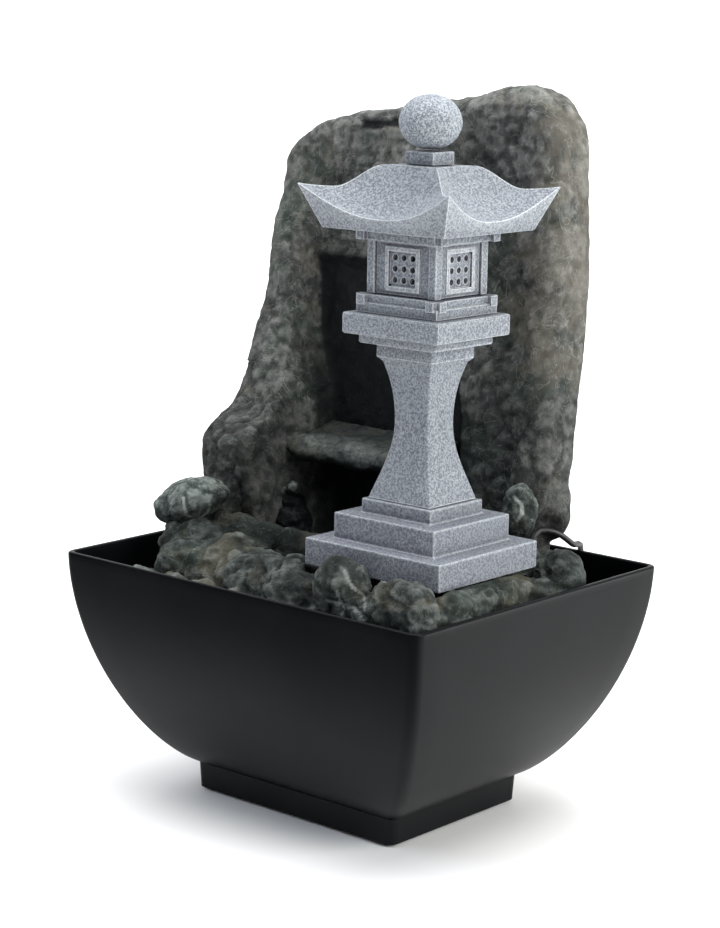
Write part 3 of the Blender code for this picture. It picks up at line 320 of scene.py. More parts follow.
coil = coil_points()
lead_in = [tuple(Vector(OUT_OF_PUMP[-1]).lerp(Vector(coil[0]), t)) for t in (0.4, 0.7)]
cord_line = [tuple(p) for p in flowing([*OUT_OF_PUMP, *lead_in, coil[0]], 0.004)][:-1] + coil
cord_line += [tuple(p) for p in flowing([coil[-1], *INTO_PLUG], 0.004)][1:]


# %% [markdown]
# The jacket is soft black vinyl: dark, with a low sheen and the faint haze that handling leaves on it.

# %% Cord finish and piece
vinyl = Paint("black_vinyl_jacket", Base_Color=(0.012, 0.012, 0.013), Specular_IOR_Level=0.45)
haze = grain(vinyl, 0.004, 3.0)
vinyl.set(Roughness=haze * 0.18 + 0.36, Normal=bump(vinyl, grain(vinyl, 0.0006), 0.00002))
curve = bpy.data.curves.new("supply_lead", "CURVE")
curve.dimensions = "3D"
curve.bevel_depth = CORD_D / 2
curve.bevel_resolution = 3
curve.use_fill_caps = True
spline = curve.splines.new("POLY")
spline.points.add(len(cord_line) - 1)
for point, place in zip(spline.points, cord_line):
    point.co = (*place, 1)
spline.use_smooth = True
curve.materials.append(vinyl.material)
supply_lead = bpy.data.objects.new("supply_lead", curve)
bpy.context.scene.collection.objects.link(supply_lead)
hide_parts("supply_cord", "supply_cord_coil", "supply_cord_tail")
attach(supply_lead, "basin")


# %% [markdown]
# ## The basin
# The real bowl is moulded in one piece of satin black plastic: four flared faces that meet in crisp
# corners, under a thin rim that catches the light. A loft of rounded rectangles follows the flare, and the
# rim is rolled over with a few extra rings so that its edge has a real highlight.

# %% Basin shape
def rounded_corners(half_x, half_y, radius, z, steps=7, between=10):
    """A rectangle with rounded corners, as points at height z, anticlockwise from the right front corner."""
    points = []
    centres = ((1, -1, -90), (1, 1, 0), (-1, 1, 90), (-1, -1, 180))
    for side_x, side_y, start in centres:
        x, y = side_x * (half_x - radius), side_y * (half_y - radius)
        for k in range(steps + 1):
            a = math.radians(start + 90 * k / steps)
            points.append(Vector((x + radius * math.cos(a), y + radius * math.sin(a), z)))
    full = []
    for k, p in enumerate(points):
        full.append(p)
        if k % (steps + 1) == steps:
            after = points[(k + 1) % len(points)]
            full += [p.lerp(after, n / (between + 1)) for n in range(1, between + 1)]
    return full


bowl_low, bowl_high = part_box("basin_bowl")
foot_low, foot_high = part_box("basin_foot")
WALL, RIM_ROLL, CORNER_R = 0.003, 0.0012, 0.0055
rim_x, rim_y, rim_z = bowl_high[0], bowl_high[1], bowl_high[2]
floor_x, floor_y = foot_high[0] - 0.0006, foot_high[1] - 0.0006


def flare(z, inset_by=0.0):
    """Half width and half depth of the bowl at a height, narrowing faster towards the bottom."""
    down = min(1.0, max(0.0, (rim_z - z) / (rim_z - bowl_low[2])))
    inset = 1 - (1 - down**1.8) ** (1 / 1.5)
    return rim_x - inset * (rim_x - floor_x) - inset_by, rim_y - inset * (rim_y - floor_y) - inset_by


def bowl_rings():
    bottom, rings = bowl_low[2], []
    shares = [(k / 40) ** 1.5 for k in range(40)]
    for share in shares:
        z = bottom + share * (rim_z - RIM_ROLL - bottom)
        rings.append(rounded_corners(*flare(z), CORNER_R, z))
    for k in range(0, 7):
        a = math.pi * k / 6
        z = rim_z - RIM_ROLL + RIM_ROLL * math.sin(a)
        rolled = flare(rim_z, (1 - math.cos(a)) * WALL / 2)
        rings.append(rounded_corners(*rolled, CORNER_R - k * 0.0004, z))
    for share in reversed(shares[1:]):
        z = bottom + WALL + share * (rim_z - RIM_ROLL - bottom - WALL)
        rings.append(rounded_corners(*flare(z, WALL), CORNER_R - 6 * 0.0004, z))
    return rings


BLACK, WORN_BLACK, GLOSS = (0.0018, 0.0021, 0.0026), (0.0032, 0.0037, 0.0044), 0.26


def satin_paint(name, sheen=None):
    """Satin black plastic. Its thin gloss is even, or follows a kept value that paints reflection."""
    paint = Paint(name, Specular_IOR_Level=0.02, Coat_Roughness=0.34)
    smudge = grain(paint, 0.05, 3.0, 0.6)
    gloss = attribute(paint, sheen) if sheen else smudge * 0.1 + 0.95
    paint.set(
        Base_Color=mix(paint, between(paint, smudge, 0.3, 0.7), BLACK, WORN_BLACK),
        Roughness=smudge * 0.10 + 0.36,
        Coat_Weight=gloss * GLOSS,
        Normal=bump(paint, grain(paint, 0.0009, 2.0), 0.00003, 0.5),
    )
    return paint


def painted_basin_reflection(mesh):
    """How glossy each point is, as painted reflection: dull at the top of the front face, glossy near its
    foot, and glossier on the other faces, most of all low down.
    """
    values = []
    for vert in mesh.vertices:
        rise = (vert.co.z - bowl_low[2]) / (rim_z - bowl_low[2])
        front = smoothstep(0.25, 0.75, -vert.normal.y)
        front_sheen = 1.10 - 1.04 * smoothstep(0.10, 0.95, rise)
        side_sheen = 1.40 - 0.50 * smoothstep(0.10, 0.70, rise)
        values.append(side_sheen + (front_sheen - side_sheen) * front)
    return keep(mesh, "sheen", values)


bowl = painted_basin_reflection(loft("basin_shell", bowl_rings(), soft=50))
piece("basin_shell", bowl, satin_paint("satin_black_plastic", "sheen"), "basin", "basin", "basin_bowl")


# %% [markdown]
# The foot is a plain hollow plinth. It only needs its edges eased, so the frame's own solid stays and
# takes a bevel.

# %% Foot
def ease(name, paint, width, segments=3):
    """Keeps a solid of the frame, gives it a finish and softens its edges."""
    obj = nodes[name]
    obj.data.materials.clear()
    obj.data.materials.append(paint.material)
    if width:
        edge = obj.modifiers.new("eased_edges", "BEVEL")
        edge.width = width
        edge.segments = segments
        edge.limit_method = "ANGLE"
        edge.angle_limit = math.radians(40)
        edge.harden_normals = False
    return obj


ease("basin_foot", satin_paint("foot_plastic"), 0.0008)
rubber = Paint("pad_rubber", Base_Color=(0.02, 0.02, 0.02), Specular_IOR_Level=0.3)
rubber.set(Roughness=grain(rubber, 0.002) * 0.2 + 0.7, Normal=bump(rubber, grain(rubber, 0.0008), 0.00005))
for k in range(1, 5):
    ease(f"foot_pad_{k}", rubber, 0.0003)
print("foot", round(foot_high[2] - foot_low[2], 4), "m tall")


# %% [markdown]
# ## Cast granite
# The lantern is cast resin painted to look like granite: a cool light grey, stippled all over with dark
# flecks about a millimetre apart, and dry-brushed almost white along its edges. Two layers of fine noise
# make the stipple. A bevelled normal that differs from the true one marks an edge, occlusion paints purple
# shade into the recesses, and kept values add painted shade and the worn lines that noise can't know. The
# steps of the base are painted a little darker than the rest, as painted shade, and the ball lighter, as
# painted light.

# %% Granite finish
FLECK, DUST, WORN_EDGE = 0.00105, 0.00048, 0.0009
DARK_FLECK, SHADE_PURPLE, EDGE_WHITE = (0.085, 0.088, 0.122), (0.060, 0.058, 0.085), (0.66, 0.69, 0.71)


def granite_paint(name, dim=0.0, lift=1.0):
    """Stippled granite: dim adds painted shade all over, and lift multiplies the two greys of its ground to
    paint light.
    """
    paint = Paint(name, Specular_IOR_Level=0.22)
    fleck = grain(paint, FLECK, 2.0, 0.6, 0.3)
    dust = grain(paint, DUST, 1.0)
    cloud = grain(paint, 0.014, 2.0)
    dark = between(paint, fleck * 0.64 + dust * 0.36 + cloud * 0.10, 0.46, 0.64)
    greys = (tuple(c * lift for c in grey) for grey in ((0.266, 0.292, 0.312), (0.306, 0.333, 0.350)))
    ground = mix(paint, between(paint, cloud, 0.35, 0.65), *greys)
    speckled = mix(paint, dark * 0.80, ground, DARK_FLECK)
    # Occlusion, the kept shade and dim paint purple shade into the recesses.
    hollow = paint.node("AmbientOcclusion", {"samples": 4, "only_local": False}, {"Distance": 0.0035}, out=1)
    deep = (1 - between(paint, hollow, 0.35, 0.95)) * 0.62 + attribute(paint, "shade") * 0.55 + dim
    shaded = mix(paint, deep, speckled, SHADE_PURPLE)
    soft = paint.node("Bevel", {"samples": 4}, {"Radius": WORN_EDGE})
    true = paint.node("NewGeometry", out=1)
    turned = paint.node("VectorMath", {"operation": "DOT_PRODUCT"}, {0: soft, 1: true}, out=1)
    worn = between(paint, 1 - turned, 0.008, 0.085) * (1 - dark * 0.35)
    worn = worn + attribute(paint, "rubbed") * (0.9 - dark * 0.4)
    paint.set(
        Base_Color=mix(paint, worn * 0.80, shaded, EDGE_WHITE),
        Roughness=0.76 + dark * 0.10,
        Normal=bump(paint, fleck * 0.7 + dust * 0.3, 0.0003, 0.5),
    )
    return paint


granite = granite_paint("cast_granite")
# The base's copy is darker, as painted shade.
shaded_granite = granite_paint("shaded_base_granite", dim=0.24)


# %% [markdown]
# ## The lantern's blocks
# Base, plate, cap, posts, sill and beams are true rectangular blocks on the real lantern, so the frame's
# own solids stay. The sill and the beams have their corners eased.

# %% Blocks
ease("lantern_base", shaded_granite, 0.0)
for name in ("lantern_plate", "lantern_cap", *(f"lantern_post_{k}" for k in range(1, 5))):
    ease(name, granite, 0.0)
for name in ("lantern_sill", "lantern_beams"):
    ease(name, granite, 0.0005, 2)


# %% [markdown]
# ## The pillar
# The shaft flares from a narrow waist down to a wide foot and up to a square head, then steps out to a
# thin moulding. A loft of rounded squares gives the flare as one smooth sweep with four crisp arrises.

# %% Pillar
pillar_low, pillar_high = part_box("lantern_pillar")
axis = Vector(((pillar_low[0] + pillar_high[0]) / 2, (pillar_low[1] + pillar_high[1]) / 2, 0))
PILLAR_FOOT, PILLAR_WAIST, PILLAR_HEAD, HEAD_BLOCK = 0.0361, 0.0197, 0.0285, 0.0325
MOULDING = pillar_high[0] - pillar_low[0]
DEPTH_RATIO = (pillar_high[1] - pillar_low[1]) / MOULDING


def pillar_width(share):
    """The shaft's width at a share of its height: a cosine flare below the waist and a power curve above."""
    waist = 0.56
    if share < waist:
        t = (waist - share) / waist
        swing = 1 - math.cos(math.pi * 0.62)
        return PILLAR_WAIST + (PILLAR_FOOT - PILLAR_WAIST) * (1 - math.cos(t * math.pi * 0.62)) / swing
    t = (share - waist) / (1 - waist)
    return PILLAR_WAIST + (PILLAR_HEAD - PILLAR_WAIST) * t**2.2


def pillar_rings():
    low, top = pillar_low[2], pillar_high[2]
    shaft = top - low - 0.0120
    widths = [(pillar_width(k / 40), low + shaft * k / 40, 0.0007) for k in range(41)]
    head_low, head_high = low + shaft + 0.0018, top - 0.0044
    widths += [(HEAD_BLOCK - 0.0008, head_low - 0.0003, 0.0007), (HEAD_BLOCK, head_low + 0.0002, 0.0007)]
    widths += [(HEAD_BLOCK, head_high - 0.0004, 0.0007), (HEAD_BLOCK - 0.0010, head_high, 0.0007)]
    widths += [(MOULDING - 0.0008, head_high + 0.0006, 0.0009), (MOULDING, head_high + 0.0012, 0.0009)]
    widths += [(MOULDING, top - 0.0005, 0.0009), (MOULDING - 0.0008, top, 0.0009)]
    rings = []
    for width, z, radius in widths:
        ring = rounded_corners(width / 2, width * DEPTH_RATIO / 2, radius, z, steps=3, between=6)
        rings.append([p + axis for p in ring])
    return rings


shaft_mesh = loft("lantern_shaft", pillar_rings(), soft=32)
piece("lantern_shaft", shaft_mesh, granite, "rockwork", "granite", "lantern_pillar")


# %% [markdown]
# ## The roof
# Each side of the roof sags from its hips to its middle, and the eave kicks up to a point at each corner.
# Two rules give the whole top: the height along the middle of a side, and the height along a hip. The
# eave's face slopes in to a smaller base, and its upper arris is the bright line seen all round.

# %% Roof
roof_low, roof_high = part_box("lantern_roof")
TIP_X, TIP_Y = (roof_high[0] - roof_low[0]) / 2, (roof_high[1] - roof_low[1]) / 2
ROOF_H = roof_high[2] - roof_low[2]
BASE_X, BASE_Y = 0.0350, 0.0318
EAVE_H, TIP_RISE, FLAT = 0.0058, 0.0195, 0.34
PER_SIDE = 32


def eased(pairs, at):
    """A value between (place, value) pairs, easing in and out of each."""
    if at <= pairs[0][0]:
        return pairs[0][1]
    for (low, first), (high, last) in zip(pairs, pairs[1:]):
        if at <= high:
            t = (at - low) / (high - low)
            return first + (last - first) * t * t * (3 - 2 * t)
    return pairs[-1][1]


def roof_height(share, corner):
    """Height above the roof's foot. Share is 1 at the eave and 0 at the middle; corner is 1 on a hip."""
    out = max(0.0, (share - FLAT) / (1 - FLAT))
    side = EAVE_H + (ROOF_H - EAVE_H) * (1 - out) ** 1.5
    dip = eased([(0, 0), (0.58, 1)], out)
    hip = ROOF_H - (ROOF_H - TIP_RISE + 0.0012) * dip + 0.0012 * max(0.0, (out - 0.58) / 0.42) ** 2
    weight = corner**2.4
    return side * (1 - weight) + hip * weight


def roof_rings():
    around = []
    for quarter in range(4):
        for k in range(PER_SIDE):
            along = -math.cos(math.pi * k / PER_SIDE)
            around.append(((1, along), (-along, 1), (-1, -along), (along, -1))[quarter])
    low, rings = roof_low[2], []
    for grow in (0.0, 0.0004):
        foot_x, foot_y = BASE_X - 0.0004 + grow, BASE_Y - 0.0004 + grow
        rings.append([axis + Vector((x * foot_x, y * foot_y, low + grow)) for x, y in around])
    shares = [1 - 0.006 * (1 - math.cos(k * math.pi / 8)) for k in (0, 1, 2, 3)]
    shares += [1 - 0.66 * (k / 26) ** 1.15 for k in range(1, 27)]
    for n, share in enumerate([1.0, *shares]):
        ring = []
        for x, y in around:
            corner = min(abs(x), abs(y))
            eave = roof_height(1, corner) / TIP_RISE
            half_x, half_y = BASE_X + (TIP_X - BASE_X) * eave, BASE_Y + (TIP_Y - BASE_Y) * eave
            under = 0.0005 if n == 0 else 0.0
            z = low + roof_height(min(share, 1), corner) - under
            ring.append(axis + Vector((x * half_x * share, y * half_y * share, z)))
        rings.append(ring)
    return rings


def rubbed_roof(mesh):
    """Dry brush along the eave's upper arris, which rings 3 to 5 form, and up the four hips."""
    kept = []
    for k in range(len(mesh.vertices)):
        ring, place = divmod(k, 4 * PER_SIDE)
        arris = 0.62 if ring in (3, 4, 5) else 0.34 if ring in (2, 6) else 0.0
        hip = 0.22 if ring > 2 and place % PER_SIDE in (0, 1, PER_SIDE - 1) else 0.0
        kept.append(max(arris, hip))
    return keep(mesh, "rubbed", kept)


roof_mesh = rubbed_roof(loft("hipped_roof", roof_rings(), soft=28))
piece("hipped_roof", roof_mesh, granite, "rockwork", "granite", "lantern_roof")


# %% [markdown]
# ## The ball on top
# The finial is a slightly flattened ball. A sphere of even small faces, pressed by a little slow noise,
# keeps it from looking machined.

# %% Finial
ball_low, ball_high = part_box("lantern_finial")
work = bmesh.new()
bmesh.ops.create_icosphere(work, subdivisions=5, radius=1)
for vert in work.verts:
    p = vert.co.copy()
    across, up = (ball_high[0] - ball_low[0]) / 2, (ball_high[2] - ball_low[2]) / 2
    size = 1 - 0.012 * (1 + noise.noise(p * 2.2))
    vert.co = Vector((p.x * across * size, p.y * across * size, max(p.z * up * size, -up + 0.0007))) + axis
    vert.co.z += (ball_low[2] + ball_high[2]) / 2 - axis.z
# The ball's copy is lighter, as painted light.
lit_granite = granite_paint("lit_finial_granite", lift=1.3)
piece("finial_ball", mesh_of("finial_ball", work, 60), lit_granite, "rockwork", "granite", "lantern_finial")


# %% [markdown]
# ## Pierced windows
# Each side of the light box is a thin panel with a raised square frame, a sunk field and nine round
# holes. Booleans cut the holes from a panel made facing the front, and a quarter turn places each copy.

# %% Windows
def box_work(size, middle, bevel=0.0):
    work = bmesh.new()
    bmesh.ops.create_cube(work, size=1)
    bmesh.ops.scale(work, vec=size, verts=work.verts)
    bmesh.ops.translate(work, vec=middle, verts=work.verts)
    if bevel:
        bmesh.ops.bevel(work, geom=work.edges[:], offset=bevel, segments=2, profile=0.5, affect="EDGES")
    return work


def helper(name, work):
    """A mesh object used only while shaping another, and removed afterwards."""
    obj = bpy.data.objects.new(name, mesh_of(name, work))
    bpy.context.scene.collection.objects.link(obj)
    return obj


def shaped(obj, *steps):
    """Applies Boolean steps of (operation, helper) to an object and returns its mesh."""
    for operation, tool in steps:
        step = obj.modifiers.new(tool.name, "BOOLEAN")
        step.operation, step.solver, step.object = operation, "EXACT", tool
    mesh = bpy.data.meshes.new_from_object(obj.evaluated_get(bpy.context.evaluated_depsgraph_get()))
    for old in [obj, *(tool for _, tool in steps)]:
        bpy.data.objects.remove(old, do_unlink=True)
    return mesh


FRAME, STRIP, PROUD, HOLE_R, PITCH, GROOVE = 0.0198, 0.0021, 0.0008, 0.00145, 0.0050, 0.0008


def window_mesh(width, height, thick):
    """A pierced panel that faces the front, with its face at y = 0."""
    panel = helper("panel", box_work((width, thick - PROUD, height), (0, (thick + PROUD) / 2, 0)))
    frame_box = helper("frame", box_work((FRAME, PROUD + 0.0004, FRAME), (0, PROUD / 2 + 0.0002, 0), 0.0003))
    inside = FRAME - 2 * STRIP
    field = helper("field", box_work((inside, PROUD * 3, inside), (0, 0.0001, 0)))
    groove = bmesh.new()
    out = inside / 2 - GROOVE / 2
    for side_x, side_z in ((0, 1), (0, -1), (1, 0), (-1, 0)):
        size = (GROOVE if side_x else inside, 0.0012, GROOVE if side_z else inside)
        part = box_work(size, (side_x * out, PROUD + 0.0004, side_z * out))
        spare = bpy.data.meshes.new("strip")
        part.to_mesh(spare)
        part.free()
        groove.from_mesh(spare)
    sunk = helper("groove", groove)
    holes = bmesh.new()
    drill = {"cap_ends": True, "segments": 24, "radius1": HOLE_R, "radius2": HOLE_R, "depth": 0.008}
    turn_flat = Matrix.Rotation(math.pi / 2, 4, "X")
    for row in (-1, 0, 1):
        for column in (-1, 0, 1):
            place = Matrix.Translation((column * PITCH, 0.001, row * PITCH)) @ turn_flat
            bmesh.ops.create_cone(holes, matrix=place, **drill)
    pierced = helper("holes", holes)
    mesh = shaped(panel, ("UNION", frame_box), *(("DIFFERENCE", tool) for tool in (field, sunk, pierced)))
    shade, rubbed = [], []
    for face in mesh.polygons:
        out = max(abs(face.center.x), abs(face.center.z))
        on_frame = face.center.y < PROUD * 0.5
        shade.append(0.0 if on_frame else 0.9 if out > FRAME / 2 else 0.25)
        rubbed.append(0.42 if on_frame else 0.0)
    return keep(keep(mesh, "shade", shade, "FACE"), "rubbed", rubbed, "FACE")


for name, quarter in (("front", 0), ("right", 1), ("back", 2), ("left", 3)):
    low, high = corners_of(f"lantern_window_{name}")
    size = high - low
    wide, thick = (size[0], size[1]) if quarter % 2 == 0 else (size[1], size[0])
    mesh = window_mesh(wide, size[2], thick)
    spin = Matrix.Rotation(quarter * math.pi / 2, 4, "Z")
    mesh.transform(Matrix.Translation((low + high) / 2) @ spin @ Matrix.Translation((0, -thick / 2, 0)))
    piece(f"window_{name}", mesh, granite, "rockwork", "granite", f"lantern_window_{name}")


# %% [markdown]
# ## Carving rock
# The rockwork is cast from a hand-carved master. Plain forms are pressed into one lump by a voxel
# remesh, as a sculptor blocks out clay. Then every point moves along its normal: slow swells first, then
# cracks where the cells of a Voronoi pattern meet, then a fine pitted skin. How high each point ends up
# is kept in an attribute, because the paint needs it: dark wash sits low, and the dry brush catches high.

# %% Clay
def blob(middle, radii, spin=(0, 0, 0), fine=4):
    """An egg-shaped form with its own slow lumps."""
    work = bmesh.new()
    bmesh.ops.create_icosphere(work, subdivisions=fine, radius=1)
    x, y, z = (math.radians(a) for a in spin)
    place = Matrix.Rotation(z, 4, "Z") @ Matrix.Rotation(y, 4, "Y") @ Matrix.Rotation(x, 4, "X")
    for vert in work.verts:
        p = vert.co
        swell = 1 + 0.16 * noise.fractal(p * 1.1 + Vector(middle) * 90, 1.0, 2.0, 2)
        vert.co = place @ Vector([c * r * swell for c, r in zip(p, radii)]) + Vector(middle)
    return work


def lump(name, forms, voxel, calming=5):
    """One closed skin round all the forms, with even faces about a voxel across."""
    whole = bmesh.new()
    for form in forms:
        if isinstance(form, bpy.types.Mesh):
            whole.from_mesh(form)
        else:
            spare = bpy.data.meshes.new("form")
            form.to_mesh(spare)
            form.free()
            whole.from_mesh(spare)
    obj = helper(name, whole)
    skin = obj.modifiers.new("skin", "REMESH")
    skin.mode = "VOXEL"
    skin.voxel_size = voxel
    calm = obj.modifiers.new("calm", "SMOOTH")
    calm.factor, calm.iterations = 0.5, calming
    return shaped(obj)


def carve(mesh, relief_of, hold=None):
    """Moves each point along its normal, and keeps its height, its black wash and painted shade, warmth and
    wetness for the paint.
    """
    normals = [v.normal.copy() for v in mesh.vertices]
    rows = []
    for vert, normal in zip(mesh.vertices, normals):
        place = vert.co.copy()
        move, *row = relief_of(place, normal)
        vert.co = place + normal * move * (hold(place) if hold else 1.0)
        rows.append(row)
    for name, values in zip(("relief", "wash", "warmth", "wet"), zip(*rows)):
        keep(mesh, name, values)
    mesh.shade_smooth()
    return mesh


def crags(place, swell=0.0022, crack=0.0012, skin=0.0005, size=0.015):
    """Slow swells, cracks between cells and a fine skin: a move along the normal and a height, 0 to 1."""
    wander = Vector((noise.noise(place / 0.02), noise.noise(place / 0.02 + Vector((7, 3, 1))), 0)) * 0.35
    slow = noise.fractal(place / (size * 2.6), 0.9, 2.0, 3)
    near = noise.voronoi(place / size + wander)[0]
    seam = 1 - smoothstep(0.0, 0.22, near[1] - near[0])
    ridges = 1 - abs(noise.fractal(place / (size * 0.45) + wander, 0.7, 2.1, 3)) * 2.2
    fine = noise.fractal(place / 0.0042, 0.8, 2.0, 2)
    move = slow * swell - seam * crack + ridges * skin * 0.9 + fine * skin
    height = 0.42 + slow * 0.22 - seam * 0.34 + ridges * 0.26 + fine * 0.24
    return move, min(1.0, max(0.0, height))


# %% [markdown]
# ## Painted rock
# The casting is sprayed near black, washed with green and brown, and dry-brushed with a pale stone
# colour. A ramp over the kept height gives wash, body and brush marks; slow noise chooses where it is
# green or brown. Fine pale creases run over it like crumpled foil, where bent noise crosses its middle.
# A kept amount lays near black over it: where water stands or runs, in the niche, and as painted shade under
# overhangs, low down and behind the lantern. Where water lies it is also wet.

# %% Rock finish
def creases(paint, size, width, warp=0.9):
    """Thin wandering lines where noise crosses its middle: 1 on a line, 0 off it."""
    off = paint.node("Math", {"operation": "ABSOLUTE"}, {0: grain(paint, size, 3.0, 0.55, warp) - 0.5})
    return 1 - between(paint, off, 0.0, width)


# Near black, for the black wash and for painted shade.
BLACK_WASH_AND_SHADE = (0.0046, 0.0060, 0.0070)


def rock_paint(name, body, brush, moss, earth, veins=0.5):
    """Body and dry brush colours, two tints, and how strongly the creases show."""
    paint = Paint(name, Specular_IOR_Level=0.09)
    relief, wash, warmth, wet = (attribute(paint, n) for n in ("relief", "wash", "warmth", "wet"))
    pits = grain(paint, 0.0015, 3.0, 0.65)
    mottle = grain(paint, 0.0048, 4.0, 0.65, 0.8)
    level = relief * 0.62 + pits * 0.26 + mottle * 0.34 - 0.10
    dark, mid = tuple(c * 0.30 for c in body), tuple(c * 0.62 + d * 0.38 for c, d in zip(body, brush))
    stops = [(0.16, dark), (0.46, body), (0.70, mid), (0.95, brush)]
    painted = paint.node("ValToRGB", {"stops": stops}, {"Fac": level})
    slow = grain(paint, 0.034, 3.0, 0.55, 0.6)
    green = between(paint, slow, 0.46, 0.62) * (1 - warmth * 0.8)
    brown = between(paint, grain(paint, 0.022, 3.0, 0.6, 0.8) + warmth * 0.22, 0.52, 0.74)
    tinted = mix(paint, green * 0.34, painted, moss)
    tinted = mix(paint, brown * 0.36, tinted, earth)
    lines = creases(paint, 0.0075, 0.030) * between(paint, mottle, 0.40, 0.60)
    coarse = creases(paint, 0.0180, 0.016) * between(paint, slow, 0.35, 0.60)
    marks = attribute(paint, "vein")
    veined = mix(paint, (lines * 0.45 + coarse * 0.55) * veins + marks * 0.75, tinted, brush)
    paint.set(
        Base_Color=mix(paint, wash, veined, BLACK_WASH_AND_SHADE),
        Roughness=0.84 - wet * 0.55 + (pits - 0.5) * 0.16,
        Normal=bump(paint, pits * 0.45 + mottle * 0.5 + lines * 0.18 + coarse * 0.2, 0.0013, 0.8),
    )
    return paint


rock = rock_paint(
    "painted_rock", body=(0.068, 0.070, 0.068), brush=(0.36, 0.36, 0.34),
    moss=(0.044, 0.070, 0.052), earth=(0.185, 0.165, 0.130),
)
bed_rock = rock_paint(
    "worn_rock", body=(0.030, 0.035, 0.033), brush=(0.24, 0.26, 0.25),
    moss=(0.030, 0.044, 0.036), earth=(0.110, 0.098, 0.066), veins=0.35,
)


# %% [markdown]
# ## The rock wall
# The wall stands as a slab with a soft, thick border. Inside the border its face is carved back a few
# millimetres, and at the left a deep niche, dark almost to black, shows the water. Painted shade darkens
# the cave under the ledge and the face behind the lantern's roof. The border at the right is warmer and
# paler than the rest, and both lower corners are darker and greener.

# %% Wall
wall_low, wall_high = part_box("rock_wall")
NICHE, NICHE_TOP, NICHE_BACK = (-0.0790, 0.0200), 0.256, 0.072
BORDER_STEP, SLOT_BELOW = 0.0032, 0.0075
TOP_LINE = [(-0.0990, 0.2990), (-0.0836, 0.3157), (-0.0440, 0.3274), (0.0, 0.3318), (0.0374, 0.3406)]
TOP_LINE += [(0.0484, 0.3425), (0.0605, 0.3388), (0.0750, 0.3190)]
RIGHT_LINE = [(0.134, 0.0592), (0.150, 0.0690), (0.194, 0.0730), (0.252, 0.0768), (0.310, 0.0740)]


def ramp(*steps):
    """The product of smooth steps, each given as its value, start and end."""
    shares = [smoothstep(start, end, at) for at, start, end in zip(steps[::3], steps[1::3], steps[2::3])]
    return math.prod(shares)


def wall_wash_and_shade(place, front, sunk, in_niche):
    """How dark a place is painted: the niche and its jambs, painted shade in the cave under the ledge and
    behind the lantern's roof, the sunk face below the crest, the lower right and the lower left.
    """
    x, y, z = place
    jamb = ramp(z, 0.262, 0.236, x, -0.082, -0.070, x, 0.030, 0.010)
    # Painted shade: the cave under the ledge, and the sunk face behind the lantern's roof.
    painted_cave_shade = ramp(z, 0.172, 0.160, x, -0.084, -0.074, x, 0.030, 0.015)
    painted_lantern_shade = 0.30 * ramp(z, 0.33, 0.28, x, -0.01, 0.02, x, 0.064, 0.040)
    low_left = ramp(z, 0.195, 0.170, x, -0.060, -0.074)
    return max(
        in_niche * 0.97,
        front * jamb * 0.9 * smoothstep(0.036, 0.048, y),
        front * painted_cave_shade * 0.50,
        sunk * painted_lantern_shade,
        sunk * 0.22 * smoothstep(0.315, 0.290, z),
        ramp(z, 0.235, 0.185, x, 0.030, 0.045) * 0.34,
        low_left * 0.42,
    )


def wall_warmth(place):
    """Tan along the right border, most of all halfway up, and a little on the crest."""
    x, _, z = place
    warmth = smoothstep(0.050, 0.075, x) * 0.75 + smoothstep(0.30, 0.335, z) * 0.25
    warmth -= ramp(z, 0.235, 0.185, x, 0.030, 0.045) * 0.9
    warmth += 0.7 * ramp(abs(z - 0.240), 0.045, 0.020, x, 0.040, 0.055)
    return min(1.0, max(0.0, warmth))


def wall_relief(place, normal):
    x, y, z = place
    move, height = crags(place, 0.0013, 0.0004, 0.00035, 0.020)
    facing, front = smoothstep(0.2, 0.7, -normal.y), smoothstep(0.3, -0.1, normal.y)
    from_left = (x + 0.096) * 1.1 if z > 0.2 else 1
    inward = min(eased(TOP_LINE, x) - z, (eased(RIGHT_LINE, z) - x) * 1.1, from_left)
    sunk = smoothstep(0.008, 0.028, inward) * facing
    if sunk:
        rough_move, height = crags(place, 0.0020, 0.0010, 0.0006, 0.013)
        move += (rough_move - move) * sunk
    in_niche = 0.0
    if NICHE[0] < x < NICHE[1] and z < NICHE_TOP:
        in_niche = smoothstep(0.0475, 0.0525, y) * facing
    if in_niche:
        sunk = 0.0
    move = move * (1 - 0.55 * in_niche) - BORDER_STEP * sunk
    if y > NICHE_BACK:
        move *= 0.5
    wash = wall_wash_and_shade(place, front, sunk, in_niche)
    from_slot = abs(z - (eased(TOP_LINE, x) - SLOT_BELOW))
    if -0.045 < x < 0.0 and from_slot < 0.0022 and y < 0.062 and normal.y < -0.2:
        wash, move = 0.9, move - 0.0015
    height += 0.10 * smoothstep(0.280, 0.305, z) - 0.07 * sunk
    return move, height, wash, wall_warmth(place), in_niche * 0.7


def wall_hold(place):
    """Still at the foot, which stands close to the bed."""
    return smoothstep(wall_low[2] + 0.001, wall_low[2] + 0.006, place.z)


